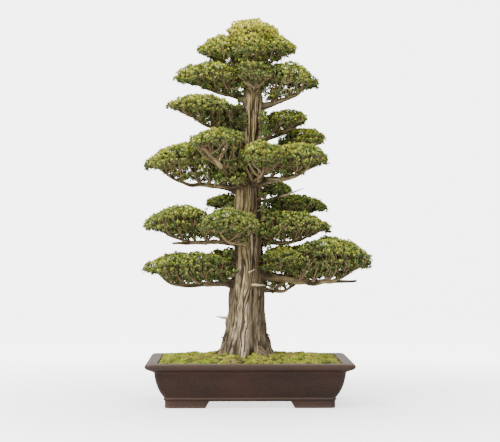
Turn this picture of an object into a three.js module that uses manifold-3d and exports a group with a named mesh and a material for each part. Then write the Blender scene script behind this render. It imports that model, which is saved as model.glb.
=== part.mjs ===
// A large potted conifer trained as a formal upright tree: a straight tapering trunk with a root
// flare, tiers of near-level boughs, and on each bough a clipped cloud of foliage over a fan of
// twigs. Millimetres, +Z up. The show side faces -Y. The pot stands on Z = 0, and the origin lies
// under the middle of the whole plant's reach.
import * as THREE from "three";
import { mergeVertices } from "three/addons/utils/BufferGeometryUtils.js";
import Module from "manifold-3d";

const wasm = await Module();
wasm.setup();

// Clearance between pieces that touch, and the shortest edge worth keeping after a cut
const GAP = 0.3;
const SLIVER = 0.12;

// Pot: a shallow rectangle with an overhanging lip, bellied walls and four corner feet
const POT = { length: 520, depth: 380, height: 112, lipWidth: 31, cornerRadius: 14, floor: 34 };
const FOOT = { height: 17, wall: 15, gapLong: 212, gapShort: 124, slope: 10, inset: 48 };
// Outer face of the pot as [inset from the lip's edge, height], from the foot up to the lip
const POT_FACE = [
  [47.5, 0],
  [48, 18.5],
  [46, 20],
  [45.5, 25],
  [45, 27.5],
  [37.5, 38],
  [31.5, 50],
  [26.5, 65],
  [23.5, 80],
  [22.5, 88],
  [17, 93],
  [5, 98],
  [1, 101.5],
  [0, 106],
  [1.5, 110],
  [6, 112],
];

// Soil and moss: level with the lip at the edge, with a low flat mound under the trunk. blend: how
// early the ground rises towards the mound. longParts, shortParts and rings: facets of its surface.
const GROUND = 121;
const SOIL = {
  edge: 109,
  moundLength: 128,
  moundDepth: 108,
  blend: 0.7,
  longParts: 10,
  shortParts: 7,
  rings: 4,
};
// Broad cushions of moss between edge and mound, spread by a two-way golden section
const CUSHIONS = { count: 38, reach: 34, height: 6.5 };

// Trunk: girth as [height above the ground, radius], and the sway of its axis as [height, x]
const TRUNK_TOP = 925;
const TRUNK_GIRTH = [
  [0, 58],
  [24, 53],
  [51, 49.5],
  [74, 47],
  [95, 45],
  [128, 41.5],
  [162, 42],
  [206, 36.5],
  [270, 35],
  [386, 33],
  [450, 29.5],
  [570, 24.5],
  [644, 25],
  [690, 22],
  [721, 14],
  [759, 9.5],
  [TRUNK_TOP - GROUND, 4],
];
const TRUNK_SWAY = [
  [0, -11],
  [128, -5],
  [270, -1],
  [386, -5],
  [450, -1],
  [570, 8],
  [670, 9.5],
  [721, 4],
  [TRUNK_TOP - GROUND, 0],
];
// Buttresses that swell out of the trunk's foot, and the hollows between them with a negative
// swell. fade: the height in which each dies out. spread: its half width in degrees.
const BUTTRESSES = [
  { heading: 267, swell: 26, fade: 45, spread: 11 },
  { heading: 309, swell: 24, fade: 34, spread: 13 },
  { heading: 351, swell: 19, fade: 28, spread: 14 },
  { heading: 46, swell: 22, fade: 26, spread: 14 },
  { heading: 98, swell: 16, fade: 30, spread: 14 },
  { heading: 140, swell: 22, fade: 30, spread: 14 },
  { heading: 186, swell: 18, fade: 26, spread: 13 },
  { heading: 230, swell: 14, fade: 40, spread: 12 },
  { heading: 289, swell: -20, fade: 55, spread: 9 },
  { heading: 249, swell: -12, fade: 45, spread: 8 },
  { heading: 330, swell: -10, fade: 50, spread: 12 },
  { heading: 20, swell: -10, fade: 50, spread: 13 },
  { heading: 72, swell: -10, fade: 50, spread: 13 },
  { heading: 120, swell: -10, fade: 50, spread: 12 },
  { heading: 163, swell: -9, fade: 50, spread: 12 },
  { heading: 208, swell: -10, fade: 50, spread: 12 },
];
// Flutes that wind up the trunk. foot: how much deeper they are at the ground. twist: radians of
// turn per millimetre of height.
const FLUTES = [
  { count: 5, depth: 1.8, foot: 3.4, phase: 1.1, twist: 0.012 },
  { count: 8, depth: 1.1, foot: 2, phase: 2, twist: -0.007 },
];
const FLUTE_FADE = 120;
const TRUNK_SIDES = 28;
const RING_SPACING = 100;
// Surface roots that run on from the buttresses
const SURFACE_ROOTS = [
  { heading: 267, reach: 96, girth: 11 },
  { heading: 309, reach: 96, girth: 11 },
  { heading: 352, reach: 88, girth: 7 },
  { heading: 48, reach: 96, girth: 10 },
  { heading: 142, reach: 98, girth: 10 },
  { heading: 188, reach: 86, girth: 8 },
];

// Limbs, tier by tier. heading: compass angle from +X, 270 is the show side. height: where the
// limb leaves the trunk's axis. girth: radius there. elbow: [distance from the axis, height] at
// which the bough enters its foliage, or none where the mass springs from the trunk itself.
// knee: [distance, height] that the stem beyond the elbow is drawn towards before it turns up.
// inner, reach and half: the mass's near end, far end and half width. under, top and tip: heights
// of its underside, its crown and its outer point. spur: [distance, height] of a bare dead end.
const LIMBS = [
  { name: "low_left", heading: 182, height: 306, girth: 8, elbow: [112, 304], knee: [212, 286],
    inner: 44, reach: 271, half: 86, under: 315, top: 387, tip: 346 },
  { name: "low_right", heading: 352, height: 328, girth: 11.5, elbow: [126, 311], knee: [240, 296],
    inner: 122, reach: 322, half: 98, under: 323, top: 425, tip: 365, spur: [280, 310] },
  { name: "low_right_front", heading: 336, height: 338, girth: 6,
    inner: 40, reach: 156, half: 48, under: 330, top: 397, tip: 362 },
  { name: "low_right_back", heading: 36, height: 294, girth: 7, elbow: [84, 284],
    inner: 64, reach: 222, half: 66, under: 340, top: 405, tip: 368 },
  { name: "low_back", heading: 112, height: 318, girth: 7, elbow: [84, 322],
    inner: 50, reach: 205, half: 76, under: 340, top: 391, tip: 362 },
  { name: "second_left", heading: 177, height: 413, girth: 7.5, elbow: [112, 411],
    inner: 102, reach: 271, half: 76, under: 430, top: 505, tip: 457, spur: [197, 408] },
  { name: "second_front_left", heading: 242, height: 410, girth: 6.5, elbow: [92, 410],
    inner: 46, reach: 190, half: 78, under: 420, top: 496, tip: 454 },
  { name: "second_right", heading: 351, height: 410, girth: 6.5, elbow: [96, 410],
    inner: 40, reach: 211, half: 68, under: 427, top: 491, tip: 452 },
  { name: "second_right_back", heading: 33, height: 458, girth: 6, elbow: [104, 470],
    inner: 60, reach: 253, half: 64, under: 485, top: 538, tip: 507 },
  { name: "second_left_back", heading: 141, height: 490, girth: 5,
    inner: 40, reach: 130, half: 42, under: 500, top: 538, tip: 514 },
  { name: "second_back", heading: 86, height: 418, girth: 7, elbow: [84, 424],
    inner: 50, reach: 190, half: 72, under: 440, top: 500, tip: 460 },
  { name: "third_left", heading: 177, height: 545, girth: 8, elbow: [104, 560], knee: [196, 552],
    inner: 72, reach: 274, half: 76, under: 594, top: 668, tip: 613 },
  { name: "third_right", heading: 339, height: 566, girth: 9, elbow: [92, 574],
    inner: 68, reach: 216, half: 60, under: 586, top: 666, tip: 625 },
  { name: "third_front_left", heading: 230, height: 552, girth: 8.5, elbow: [112, 604],
    inner: 62, reach: 200, half: 70, under: 644, top: 699, tip: 664 },
  { name: "third_front", heading: 288, height: 556, girth: 7.5, elbow: [84, 572],
    inner: 52, reach: 176, half: 57, under: 598, top: 667, tip: 628 },
  { name: "third_right_back", heading: 30, height: 596, girth: 6.5, elbow: [126, 628],
    inner: 96, reach: 229, half: 54, under: 660, top: 714, tip: 684 },
  { name: "third_left_back", heading: 138, height: 566, girth: 5,
    inner: 40, reach: 134, half: 42, under: 572, top: 618, tip: 590 },
  { name: "third_right_low", heading: 22, height: 540, girth: 5,
    inner: 38, reach: 124, half: 38, under: 530, top: 576, tip: 550 },
  { name: "third_back", heading: 92, height: 582, girth: 7, elbow: [84, 592],
    inner: 46, reach: 188, half: 70, under: 618, top: 680, tip: 636 },
  { name: "fourth_left", heading: 188, height: 686, girth: 6.5, elbow: [106, 708],
    inner: 32, reach: 221, half: 68, under: 732, top: 790, tip: 766 },
  { name: "fourth_right", heading: 27, height: 672, girth: 5.5, elbow: [80, 690],
    inner: 28, reach: 164, half: 52, under: 704, top: 759, tip: 738 },
  { name: "fourth_back", heading: 124, height: 668, girth: 5.5, elbow: [74, 696],
    inner: 38, reach: 164, half: 58, under: 716, top: 768, tip: 734 },
  { name: "fifth_left", heading: 184, height: 778, girth: 5.5, elbow: [104, 801],
    inner: 30, reach: 206, half: 60, under: 808, top: 880, tip: 838 },
  { name: "fifth_right", heading: 353, height: 756, girth: 7, elbow: [92, 782],
    inner: 34, reach: 173, half: 56, under: 802, top: 872, tip: 819 },
  { name: "fifth_front", heading: 276, height: 792, girth: 4.5,
    inner: 28, reach: 108, half: 48, under: 820, top: 870, tip: 836 },
  { name: "fifth_back", heading: 86, height: 774, girth: 5.5, elbow: [66, 798],
    inner: 30, reach: 142, half: 58, under: 820, top: 876, tip: 836 },
  { name: "crown_left", heading: 190, height: 862, girth: 4.5,
    inner: 16, reach: 139, half: 52, under: 876, top: 944, tip: 909 },
  { name: "crown_right", heading: 350, height: 870, girth: 4.5,
    inner: 16, reach: 121, half: 50, under: 883, top: 945, tip: 911 },
  { name: "crown_back", heading: 88, height: 862, girth: 4.5,
    inner: 16, reach: 104, half: 48, under: 888, top: 946, tip: 908 },
  { name: "crown_front", heading: 270, height: 866, girth: 4,
    inner: 16, reach: 92, half: 48, under: 878, top: 944, tip: 906 },
];
const CROWN = { reach: 71, offset: 9, under: 916, top: 988, stem: 24, stemGirth: 3.6, sprays: 13 };

// Bare dead stubs, of which the two short ones stay part of the trunk. tipHeading: where the tip
// points, if the stub bends aside. bend: how far out it does, as a share of its reach.
const DEAD_STUBS = [
  { name: "dead_stub_left", heading: 190, height: 214, length: 26, rise: 6, girth: 4 },
  { name: "dead_stub_front", heading: 280, height: 300, length: 38, rise: 2, girth: 5,
    tipHeading: 322, bend: 1.05 },
  { name: "dead_stub_right", heading: 12, height: 512, length: 104, rise: 38, girth: 5 },
];
const TRUNK_STUBS = [
  { heading: 276, height: 338, length: 13, rise: 8, girth: 3.4 },
  { heading: 196, height: 325, length: 27, rise: 6, girth: 4 },
];

// Foliage: how far a mass's core fills its space, and the sprays that stand out of it
const CORE = { plan: 0.94, height: 0.88, sides: 10, rings: 5 };
const SPRAY = { count: 6, width: 25, thickness: 3, sunk: 6, stand: 1.03 };
const TWIG = { count: 3, root: 2.8, end: 1.4, reach: 0.55 };
const CLOUD = { skew: 0.2, waist: 0.42, lobeThree: 0.09, lobeFive: 0.06 };
const GOLDEN_ANGLE = Math.PI * (3 - Math.sqrt(5));

const LOOKS = {
  pot: { color: 0x4b3830, roughness: 0.6 },
  moss: { color: 0x8f9a3a, roughness: 0.95 },
  bark: { color: 0x80694d, roughness: 0.9 },
  deadwood: { color: 0xc2b090, roughness: 0.8 },
  foliage: { color: 0x62753a, roughness: 0.7 },
};

const radians = (degrees) => (degrees * Math.PI) / 180;

// The value at x on a line through [x, y] stations.
function along(stations, x) {
  const last = stations.length - 1;
  if (x <= stations[0][0]) return stations[0][1];
  if (x >= stations[last][0]) return stations[last][1];
  const i = stations.findIndex((station) => station[0] > x);
  const [x0, y0] = stations[i - 1];
  const [x1, y1] = stations[i];
  return y0 + ((y1 - y0) * (x - x0)) / (x1 - x0);
}

// A seeded stream of numbers from 0 to 1.
function seeded(seed) {
  let state = seed >>> 0;
  return () => {
    state = (state + 0x6d2b79f5) >>> 0;
    let t = state;
    t = Math.imul(t ^ (t >>> 15), t | 1);
    t ^= t + Math.imul(t ^ (t >>> 7), t | 61);
    return ((t ^ (t >>> 14)) >>> 0) / 4294967296;
  };
}

function solidOf(geometry) {
  const bare = geometry.clone();
  bare.deleteAttribute("normal");
  bare.deleteAttribute("uv");
  const merged = mergeVertices(bare, 1e-4);
  return new wasm.Manifold(
    new wasm.Mesh({
      numProp: 3,
      vertProperties: merged.attributes.position.array,
      triVerts: new Uint32Array(merged.index.array),
    }),
  );
}

function geometryOf(solid) {
  const { numProp, numVert, vertProperties, triVerts } = solid.getMesh();
  const position = new Float32Array(numVert * 3);
  for (let i = 0; i < numVert; i++) {
    position.set(vertProperties.subarray(i * numProp, i * numProp + 3), i * 3);
  }
  return new THREE.BufferGeometry()
    .setAttribute("position", new THREE.BufferAttribute(position, 3))
    .setIndex(new THREE.BufferAttribute(triVerts, 1))
    .toNonIndexed();
}

// A closed skin over rings of points, each ring counter-clockwise seen from the last one.
function skin(rings) {
  const sides = rings[0].length;
  const corners = [];
  const facet = (...points) => points.forEach((p) => corners.push(p.x, p.y, p.z));
  const middle = (ring) =>
    ring.reduce((sum, p) => sum.add(p), new THREE.Vector3()).divideScalar(sides);
  rings.slice(1).forEach((upper, i) => {
    const lower = rings[i];
    for (let j = 0; j < sides; j++) {
      const k = (j + 1) % sides;
      facet(lower[j], lower[k], upper[k]);
      facet(lower[j], upper[k], upper[j]);
    }
  });
  const first = rings[0];
  const last = rings[rings.length - 1];
  const [start, end] = [middle(first), middle(last)];
  for (let j = 0; j < sides; j++) {
    const k = (j + 1) % sides;
    facet(start, first[k], first[j]);
    facet(end, last[j], last[k]);
  }
  return new THREE.BufferGeometry().setAttribute(
    "position",
    new THREE.BufferAttribute(new Float32Array(corners), 3),
  );
}

// A tapering limb along a curve.
function limb(curve, radiusAt, sides, steps) {
  const frames = curve.computeFrenetFrames(steps, false);
  const rings = [];
  for (let i = 0; i <= steps; i++) {
    const centre = curve.getPointAt(i / steps);
    const radius = radiusAt(i / steps);
    rings.push(
      Array.from({ length: sides }, (_, j) => {
        const turn = (2 * Math.PI * j) / sides;
        return centre
          .clone()
          .addScaledVector(frames.normals[i], radius * Math.cos(turn))
          .addScaledVector(frames.binormals[i], radius * Math.sin(turn));
      }),
    );
  }
  return solidOf(skin(rings));
}

function trunkAxis(height) {
  return new THREE.Vector3(along(TRUNK_SWAY, height - GROUND), 0, height);
}

// The point at a distance from the trunk's axis along a compass heading.
function outFrom(height, heading, distance, z) {
  const turn = radians(heading);
  const foot = trunkAxis(height);
  return new THREE.Vector3(
    foot.x + distance * Math.cos(turn),
    foot.y + distance * Math.sin(turn),
    z,
  );
}

// How far buttresses, hollows and flutes stand out of the trunk's round girth.
function swellingAt(turn, above, radius) {
  const swells = BUTTRESSES.map(({ heading, swell, fade, spread }) => {
    const fromHeading = turn - radians(heading) + Math.PI;
    const off = THREE.MathUtils.euclideanModulo(fromHeading, 2 * Math.PI) - Math.PI;
    return swell * Math.exp(-((off / radians(spread)) ** 2) - above / fade);
  });
  const flutes = FLUTES.map(({ count, depth, foot, phase, twist }) => {
    const size = (depth + foot * Math.exp(-above / FLUTE_FADE)) * Math.min(radius / 40, 1);
    return size * Math.cos(count * turn + phase + twist * above);
  });
  return [...swells, ...flutes].reduce((sum, part) => sum + part, 0);
}

// Heights of the trunk's rings: its stations, one more in its flare and one in each long stretch.
function trunkHeights() {
  const stations = TRUNK_GIRTH.map(([above]) => above);
  return stations.flatMap((above, i) => {
    const next = stations[i + 1] ?? above;
    return i === 0 || next - above > RING_SPACING ? [above, (above + next) / 2] : [above];
  });
}

function trunkSolid(clearance) {
  const heights = trunkHeights();
  const rings = heights.map((above) => {
    const centre = trunkAxis(GROUND + above);
    const radius = along(TRUNK_GIRTH, above);
    const z = centre.z + (above > 0 ? 0 : -clearance) + (above === heights.at(-1) ? clearance : 0);
    return Array.from({ length: TRUNK_SIDES }, (_, j) => {
      const turn = (2 * Math.PI * j) / TRUNK_SIDES;
      const reach = radius + swellingAt(turn, above, radius) + clearance;
      return new THREE.Vector3(centre.x + reach * Math.cos(turn), reach * Math.sin(turn), z);
    });
  });
  const roots = SURFACE_ROOTS.map(({ heading, reach, girth }) => {
    const curve = new THREE.QuadraticBezierCurve3(
      outFrom(GROUND, heading, 20, GROUND + 44),
      outFrom(GROUND, heading, 62, GROUND + 16),
      outFrom(GROUND, heading, reach, GROUND - 1),
    );
    return limb(curve, (t) => girth * (1 - 0.62 * t) + clearance, 6, 3);
  });
  const stubs = TRUNK_STUBS.map((stub) => stubSolid(stub, clearance));
  const whole = wasm.Manifold.union([solidOf(skin(rings)), ...roots, ...stubs]);
  const below = new THREE.BoxGeometry(400, 400, 100).translate(0, 0, GROUND - 50 - clearance);
  return whole.subtract(solidOf(below));
}

// A rounded rectangle of the pot at an inset from the lip's edge.
function potRing(inset, z) {
  const radius = POT.cornerRadius;
  const halfX = POT.length / 2 - inset - radius;
  const halfY = POT.depth / 2 - inset - radius;
  const steps = 3;
  const corners = [
    [halfX, halfY, 0],
    [-halfX, halfY, 90],
    [-halfX, -halfY, 180],
    [halfX, -halfY, 270],
  ];
  return corners.flatMap(([x, y, from]) =>
    Array.from({ length: steps + 1 }, (_, i) => {
      const turn = radians(from + (90 * i) / steps);
      return new THREE.Vector3(x + radius * Math.cos(turn), y + radius * Math.sin(turn), z);
    }),
  );
}

function potSolid() {
  const { floor, height, lipWidth } = POT;
  const rings = POT_FACE.map(([inset, z]) => potRing(inset, z));
  rings.push(
    potRing(lipWidth - 1.5, height),
    potRing(lipWidth, height - 2),
    potRing(lipWidth + 6, height - 30),
    potRing(lipWidth + 20, floor + 8),
    potRing(lipWidth + 26, floor),
  );
  const body = solidOf(skin(rings));
  const under = solidOf(
    new THREE.BoxGeometry(
      POT.length - 2 * (FOOT.inset + FOOT.wall),
      POT.depth - 2 * (FOOT.inset + FOOT.wall),
      2 * FOOT.height,
    ),
  );
  return body.subtract(under).subtract(footGap(FOOT.gapLong, POT.depth, 0)).subtract(
    footGap(FOOT.gapShort, POT.length, 90),
  );
}

// The trapezoid gap between two feet, cut right through along Y and then turned about Z.
function footGap(width, through, turn) {
  const outline = new THREE.Shape([
    new THREE.Vector2(-width / 2 - FOOT.slope / 2, -1),
    new THREE.Vector2(width / 2 + FOOT.slope / 2, -1),
    new THREE.Vector2(width / 2 - FOOT.slope / 2, FOOT.height - 0.5),
    new THREE.Vector2(-width / 2 + FOOT.slope / 2, FOOT.height - 0.5),
  ]);
  const cut = new THREE.ExtrudeGeometry(outline, { depth: through, bevelEnabled: false });
  return solidOf(cut.translate(0, 0, -through / 2).rotateX(Math.PI / 2).rotateZ(radians(turn)));
}

// A ring of the pot whose four straight sides are divided, for a surface that isn't flat.
function dividedRing(inset, z) {
  const ring = potRing(inset, z);
  const inCorner = ring.length / 4;
  return ring.flatMap((p, i) => {
    const q = ring[(i + 1) % ring.length];
    const sideParts = Math.abs(p.x - q.x) > Math.abs(p.y - q.y) ? SOIL.longParts : SOIL.shortParts;
    const parts = (i + 1) % inCorner === 0 ? sideParts : 1;
    return Array.from({ length: parts }, (_, k) => p.clone().lerp(q, k / parts));
  });
}

// The k-th broad cushion of moss: its place, its reach and its height.
function cushionOf(k) {
  const part = (step) => (k * step) % 1;
  const x = (((0.5 + k * 0.7548777) % 1) - 0.5) * (POT.length - 2 * POT.lipWidth);
  const y = (((0.5 + k * 0.5698403) % 1) - 0.5) * (POT.depth - 2 * POT.lipWidth);
  const reach = CUSHIONS.reach * (0.85 + 0.3 * part(0.618));
  return { x, y, reach, height: CUSHIONS.height * (0.6 + 0.4 * part(0.382)) };
}

// Height of the soil: the edge's at the rim, the ground's on the mound, and cushions between.
function soilHeight(x, y) {
  const [halfX, halfY] = [POT.length / 2 - POT.lipWidth, POT.depth / 2 - POT.lipWidth];
  const rim = Math.max(1 - Math.max(Math.abs(x) / halfX, Math.abs(y) / halfY), 0);
  const fromMiddle = Math.hypot((x - trunkAxis(GROUND).x) / SOIL.moundLength, y / SOIL.moundDepth);
  const share = rim / (rim + SOIL.blend * Math.max(fromMiddle - 1, 0) + 1e-9);
  const broad = Array.from({ length: CUSHIONS.count }, (_, i) => {
    const cushion = cushionOf(i + 1);
    const away = Math.hypot(x - cushion.x, y - cushion.y) / cushion.reach;
    return cushion.height * (1 - away ** 2);
  });
  const level = SOIL.edge + (GROUND - GAP - SOIL.edge) * share;
  return level + Math.max(0, ...broad) * Math.sqrt(Math.sin(Math.PI * share));
}

function soilSolid() {
  const { lipWidth, floor, height } = POT;
  const wall = (inset, z) => dividedRing(inset + GAP, z);
  const moundAt = (p) => {
    const turn = Math.atan2(p.y / SOIL.moundDepth, p.x / SOIL.moundLength);
    const x = trunkAxis(GROUND).x + SOIL.moundLength * Math.cos(turn);
    return new THREE.Vector3(x, SOIL.moundDepth * Math.sin(turn), p.z);
  };
  const surface = (share) =>
    wall(lipWidth, SOIL.edge).map((p) => {
      const q = p.clone().lerp(moundAt(p), share);
      return q.setZ(share < 1 ? soilHeight(q.x, q.y) : GROUND - GAP);
    });
  return solidOf(
    skin([
      wall(lipWidth + 26, floor + GAP),
      wall(lipWidth + 20, floor + 8 + GAP),
      wall(lipWidth + 6, height - 30),
      wall(lipWidth, SOIL.edge),
      ...Array.from({ length: SOIL.rings }, (_, i) => surface((i + 1) / SOIL.rings)),
    ]),
  );
}

// The space that a mass of foliage keeps to: a domed cloud, pointed at its outer end.
function cloudOf(row, phase) {
  const across = radians(row.heading + 90);
  const middle = row.under + (row.top - row.under) * CLOUD.waist;
  const longHalf = (row.reach - row.inner) / 2;
  const sideways = new THREE.Vector3(Math.cos(across), Math.sin(across), 0);
  return {
    // The point at (p, q) of a unit disc in plan, and lift from -1 underside to +1 crown.
    at(p, q, lift, planShare = 1, heightShare = 1) {
      const turn = Math.atan2(q, p);
      const ripple =
        CLOUD.lobeThree * Math.sin(3 * turn + phase) +
        CLOUD.lobeFive * Math.sin(5 * turn + 1.7 * phase);
      const lobes = 1 + ripple * Math.sin(turn) ** 2;
      const distance = (row.reach + row.inner) / 2 + longHalf * p * planShare * lobes;
      const depth = lift > 0 ? row.top - middle : middle - row.under;
      const skewed = lift > 0 ? 1 - CLOUD.skew * p : 1;
      const level = middle + (row.tip - middle) * p;
      const z = level + lift * heightShare * depth * skewed;
      return outFrom(row.height, row.heading, distance, z).addScaledVector(
        sideways,
        row.half * q * planShare * lobes,
      );
    },
  };
}

// A ball drawn out to the cloud's form, at a share of its plan and of its height.
function cloudSolid(cloud, planShare, heightShare) {
  const ball = new THREE.SphereGeometry(1, CORE.sides, CORE.rings).rotateX(Math.PI / 2);
  const place = ball.attributes.position;
  for (let i = 0; i < place.count; i++) {
    const p = cloud.at(place.getX(i), place.getY(i), place.getZ(i), planShare, heightShare);
    place.setXYZ(i, p.x, p.y, p.z);
  }
  return solidOf(ball);
}

const coreSolid = (cloud) => cloudSolid(cloud, CORE.plan, CORE.height);
const spaceSolid = (cloud) => cloudSolid(cloud, 1.1, 1.14);

// One spray of needles: a flat eight-faced blade from root to tip, widest past its middle.
function spraySolid(root, tip, width) {
  const forward = tip.clone().sub(root).normalize();
  const flat = Math.abs(forward.z) > 0.9 ? new THREE.Vector3(1, 0, 0) : new THREE.Vector3(0, 0, 1);
  const side = new THREE.Vector3().crossVectors(flat, forward).normalize();
  const up = new THREE.Vector3().crossVectors(forward, side);
  const waist = root.clone().lerp(tip, 0.62);
  const rim = [
    root,
    waist.clone().addScaledVector(side, -width / 2),
    tip,
    waist.clone().addScaledVector(side, width / 2),
  ];
  const over = waist.clone().addScaledVector(up, SPRAY.thickness / 2);
  const under = waist.clone().addScaledVector(up, -SPRAY.thickness / 2);
  const corners = [];
  rim.forEach((p, i) => {
    const q = rim[(i + 1) % rim.length];
    [p, q, over, q, p, under].forEach((c) => corners.push(c.x, c.y, c.z));
  });
  return solidOf(
    new THREE.BufferGeometry().setAttribute(
      "position",
      new THREE.BufferAttribute(new Float32Array(corners), 3),
    ),
  );
}

// Sprays spread evenly over a cloud's crown, and one at its outermost point where asked.
function spraysOn(cloud, count, atTip, next) {
  return Array.from({ length: count + (atTip ? 1 : 0) }, (_, i) => {
    const radius = i < count ? Math.sqrt((i + 0.5) / count) : 1;
    const turn = i < count ? i * GOLDEN_ANGLE + 0.3 * next() : 0;
    const lift = Math.sqrt(1 - radius * radius);
    const [p, q] = [radius * Math.cos(turn), radius * Math.sin(turn)];
    const rooted = cloud.at(p, q, lift, CORE.plan, CORE.height);
    const tip = cloud.at(p, q, lift, SPRAY.stand, SPRAY.stand);
    const inward = rooted.clone().sub(tip).normalize();
    return spraySolid(
      rooted.addScaledVector(inward, SPRAY.sunk),
      tip,
      SPRAY.width * (0.85 + 0.3 * next()),
    );
  });
}

function boughCurve(row) {
  const [distance, z] = row.elbow;
  const start = outFrom(row.height, row.heading, 0, row.height);
  const end = outFrom(row.height, row.heading, distance, z);
  const bendHeight = row.height + (z - row.height) * 0.3;
  const bend = outFrom(row.height, row.heading, distance * 0.55, bendHeight);
  return new THREE.QuadraticBezierCurve3(start, bend, end);
}

// The stem inside a mass: on from the bough's tip or the trunk, level and then up to the outer end.
function stemCurve(row, cloud) {
  const end = cloud.at(0.72, 0, -0.2, 0.9, 0.5);
  if (!row.elbow) {
    const start = outFrom(row.height, row.heading, 0, row.height);
    const bend = outFrom(row.height, row.heading, (row.inner + row.reach) * 0.3, row.height + 6);
    return new THREE.QuadraticBezierCurve3(start, bend, end);
  }
  const arrive = boughCurve(row).getTangent(1);
  const start = boughCurve(row).getPoint(1).addScaledVector(arrive, GAP);
  const run = start.distanceTo(end) * 0.55;
  const onward = start.clone().addScaledVector(arrive, run);
  const knee = row.knee && outFrom(row.height, row.heading, ...row.knee);
  return new THREE.QuadraticBezierCurve3(start, knee ?? onward, end);
}

function stemSolid(row, cloud, clearance) {
  const girth = row.girth * (row.elbow ? 0.7 : 0.8);
  return limb(stemCurve(row, cloud), (t) => girth * (1 - t) + 1.6 * t + clearance, 4, 3);
}

// The solids whose boxes reach into a piece's box.
function nearTo(piece, solids) {
  const a = piece.boundingBox();
  return solids.filter((solid) => {
    const b = solid.boundingBox();
    return [0, 1, 2].every((i) => a.min[i] <= b.max[i] && b.min[i] <= a.max[i]);
  });
}

const touches = (piece, solids) =>
  nearTo(piece, solids).some((solid) => !piece.intersect(solid).isEmpty());

const cutClear = (piece, solids) =>
  nearTo(piece, solids).reduce((left, solid) => left.subtract(solid), piece);

// A mass of foliage: stem, twigs, core and sprays, fused. What would touch a limb or another
// mass's space is cut clear or left off.
function massSolid(row, index, cloud, taken) {
  const next = seeded(index * 7919 + 17);
  const stem = stemCurve(row, cloud);
  const pieces = [stemSolid(row, cloud, 0), coreSolid(cloud)].map((p) => cutClear(p, taken));
  const [stemStart, stemEnd] = [row.elbow ? row.elbow[0] : row.inner, row.reach * 0.8];
  for (let i = 0; i < TWIG.count; i++) {
    const radius = Math.sqrt((i + 0.6) / TWIG.count) * TWIG.reach;
    const turn = i * GOLDEN_ANGLE + next();
    const [p, q] = [radius * Math.cos(turn), radius * Math.sin(turn)];
    const end = cloud.at(p, q, -0.2, 0.9, CORE.height);
    const distance = (row.inner + row.reach) / 2 + ((row.reach - row.inner) / 2) * p;
    const station = (distance - stemStart) / (stemEnd - stemStart) - 0.3;
    const start = stem.getPoint(THREE.MathUtils.clamp(station, row.elbow ? 0.03 : 0.3, 0.8));
    const line = new THREE.LineCurve3(start, end);
    const twig = limb(line, (t) => TWIG.root * (1 - t) + TWIG.end * t, 3, 1);
    if (!touches(twig, taken)) pieces.push(twig);
  }
  if (row.spur) {
    const spur = outFrom(row.height, row.heading, ...row.spur);
    pieces.push(limb(new THREE.LineCurve3(stem.getPoint(0.15), spur), (t) => 4 - 3 * t, 4, 2));
  }
  pieces.push(...spraysOn(cloud, SPRAY.count, true, next).filter((p) => !touches(p, taken)));
  return largest(wasm.Manifold.union(pieces));
}

// The largest body of a solid, worked out in full so that later cuts don't repeat it.
function largest(solid) {
  const bodies = solid.simplify(SLIVER).decompose();
  const best = bodies.reduce((most, body) => (body.volume() > most.volume() ? body : most));
  return new wasm.Manifold(best.getMesh());
}

function crownCloud() {
  const { reach, offset, under, top } = CROWN;
  const row = { heading: 0, height: TRUNK_TOP, inner: offset - reach, reach: offset + reach };
  const tip = under + (top - under) * CLOUD.waist;
  return cloudOf({ ...row, half: reach * 0.92, under, top, tip }, 2.1);
}

// The topmost mass, on a short stem that goes straight up from the trunk's tip.
function crownSolid(cloud, taken) {
  const foot = trunkAxis(TRUNK_TOP).setZ(TRUNK_TOP + GAP);
  const top = foot.clone().setZ(CROWN.under + CROWN.stem);
  const stem = limb(new THREE.LineCurve3(foot, top), () => CROWN.stemGirth, 6, 1);
  const sprays = spraysOn(cloud, CROWN.sprays, false, seeded(5));
  const clear = sprays.filter((spray) => !touches(spray, taken));
  return largest(wasm.Manifold.union([stem, cutClear(coreSolid(cloud), taken), ...clear]));
}

function boughSolid(row, clearance) {
  return limb(boughCurve(row), (t) => row.girth * (1.2 - 0.5 * t) + clearance, 6, 3);
}

function stubSolid(stub, clearance) {
  const { heading, height, length, rise, girth, tipHeading = heading, bend = 0.6 } = stub;
  const reach = along(TRUNK_GIRTH, height - GROUND) + length;
  const curve = new THREE.QuadraticBezierCurve3(
    outFrom(height, heading, 0, height),
    outFrom(height, heading, reach * bend, height + rise * 0.2),
    outFrom(height, tipHeading, reach, height + rise),
  );
  return limb(curve, (t) => girth * (1 - t) + 0.8 * t + clearance, 6, 4);
}

const plant = new THREE.Group();
function add(name, solid, look) {
  const material = new THREE.MeshStandardMaterial({ metalness: 0, ...LOOKS[look] });
  const mesh = new THREE.Mesh(geometryOf(solid), material);
  mesh.name = name;
  plant.add(mesh);
}

const trunkClear = trunkSolid(GAP);
add("pot", potSolid(), "pot");
add("soil", soilSolid(), "moss");
add("trunk", trunkSolid(0), "bark");

// What a later piece keeps clear of: limbs grown by the clearance, and the spaces of the masses
const taken = [trunkClear];
LIMBS.filter((row) => row.elbow).forEach((row) => {
  add("bough_" + row.name, largest(boughSolid(row, 0).subtract(trunkClear)), "bark");
  taken.push(boughSolid(row, GAP));
});
DEAD_STUBS.forEach((stub) => {
  add(stub.name, largest(stubSolid(stub, 0).subtract(trunkClear)), "deadwood");
  taken.push(stubSolid(stub, GAP));
});
LIMBS.forEach((row, index) => {
  const cloud = cloudOf(row, 2.4 * index);
  const mass = massSolid(row, index + 1, cloud, taken);
  add("foliage_" + row.name, mass, "foliage");
  taken.push(mass, spaceSolid(cloud), stemSolid(row, cloud, GAP));
});
add("foliage_crown_top", crownSolid(crownCloud(), taken), "foliage");

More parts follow.
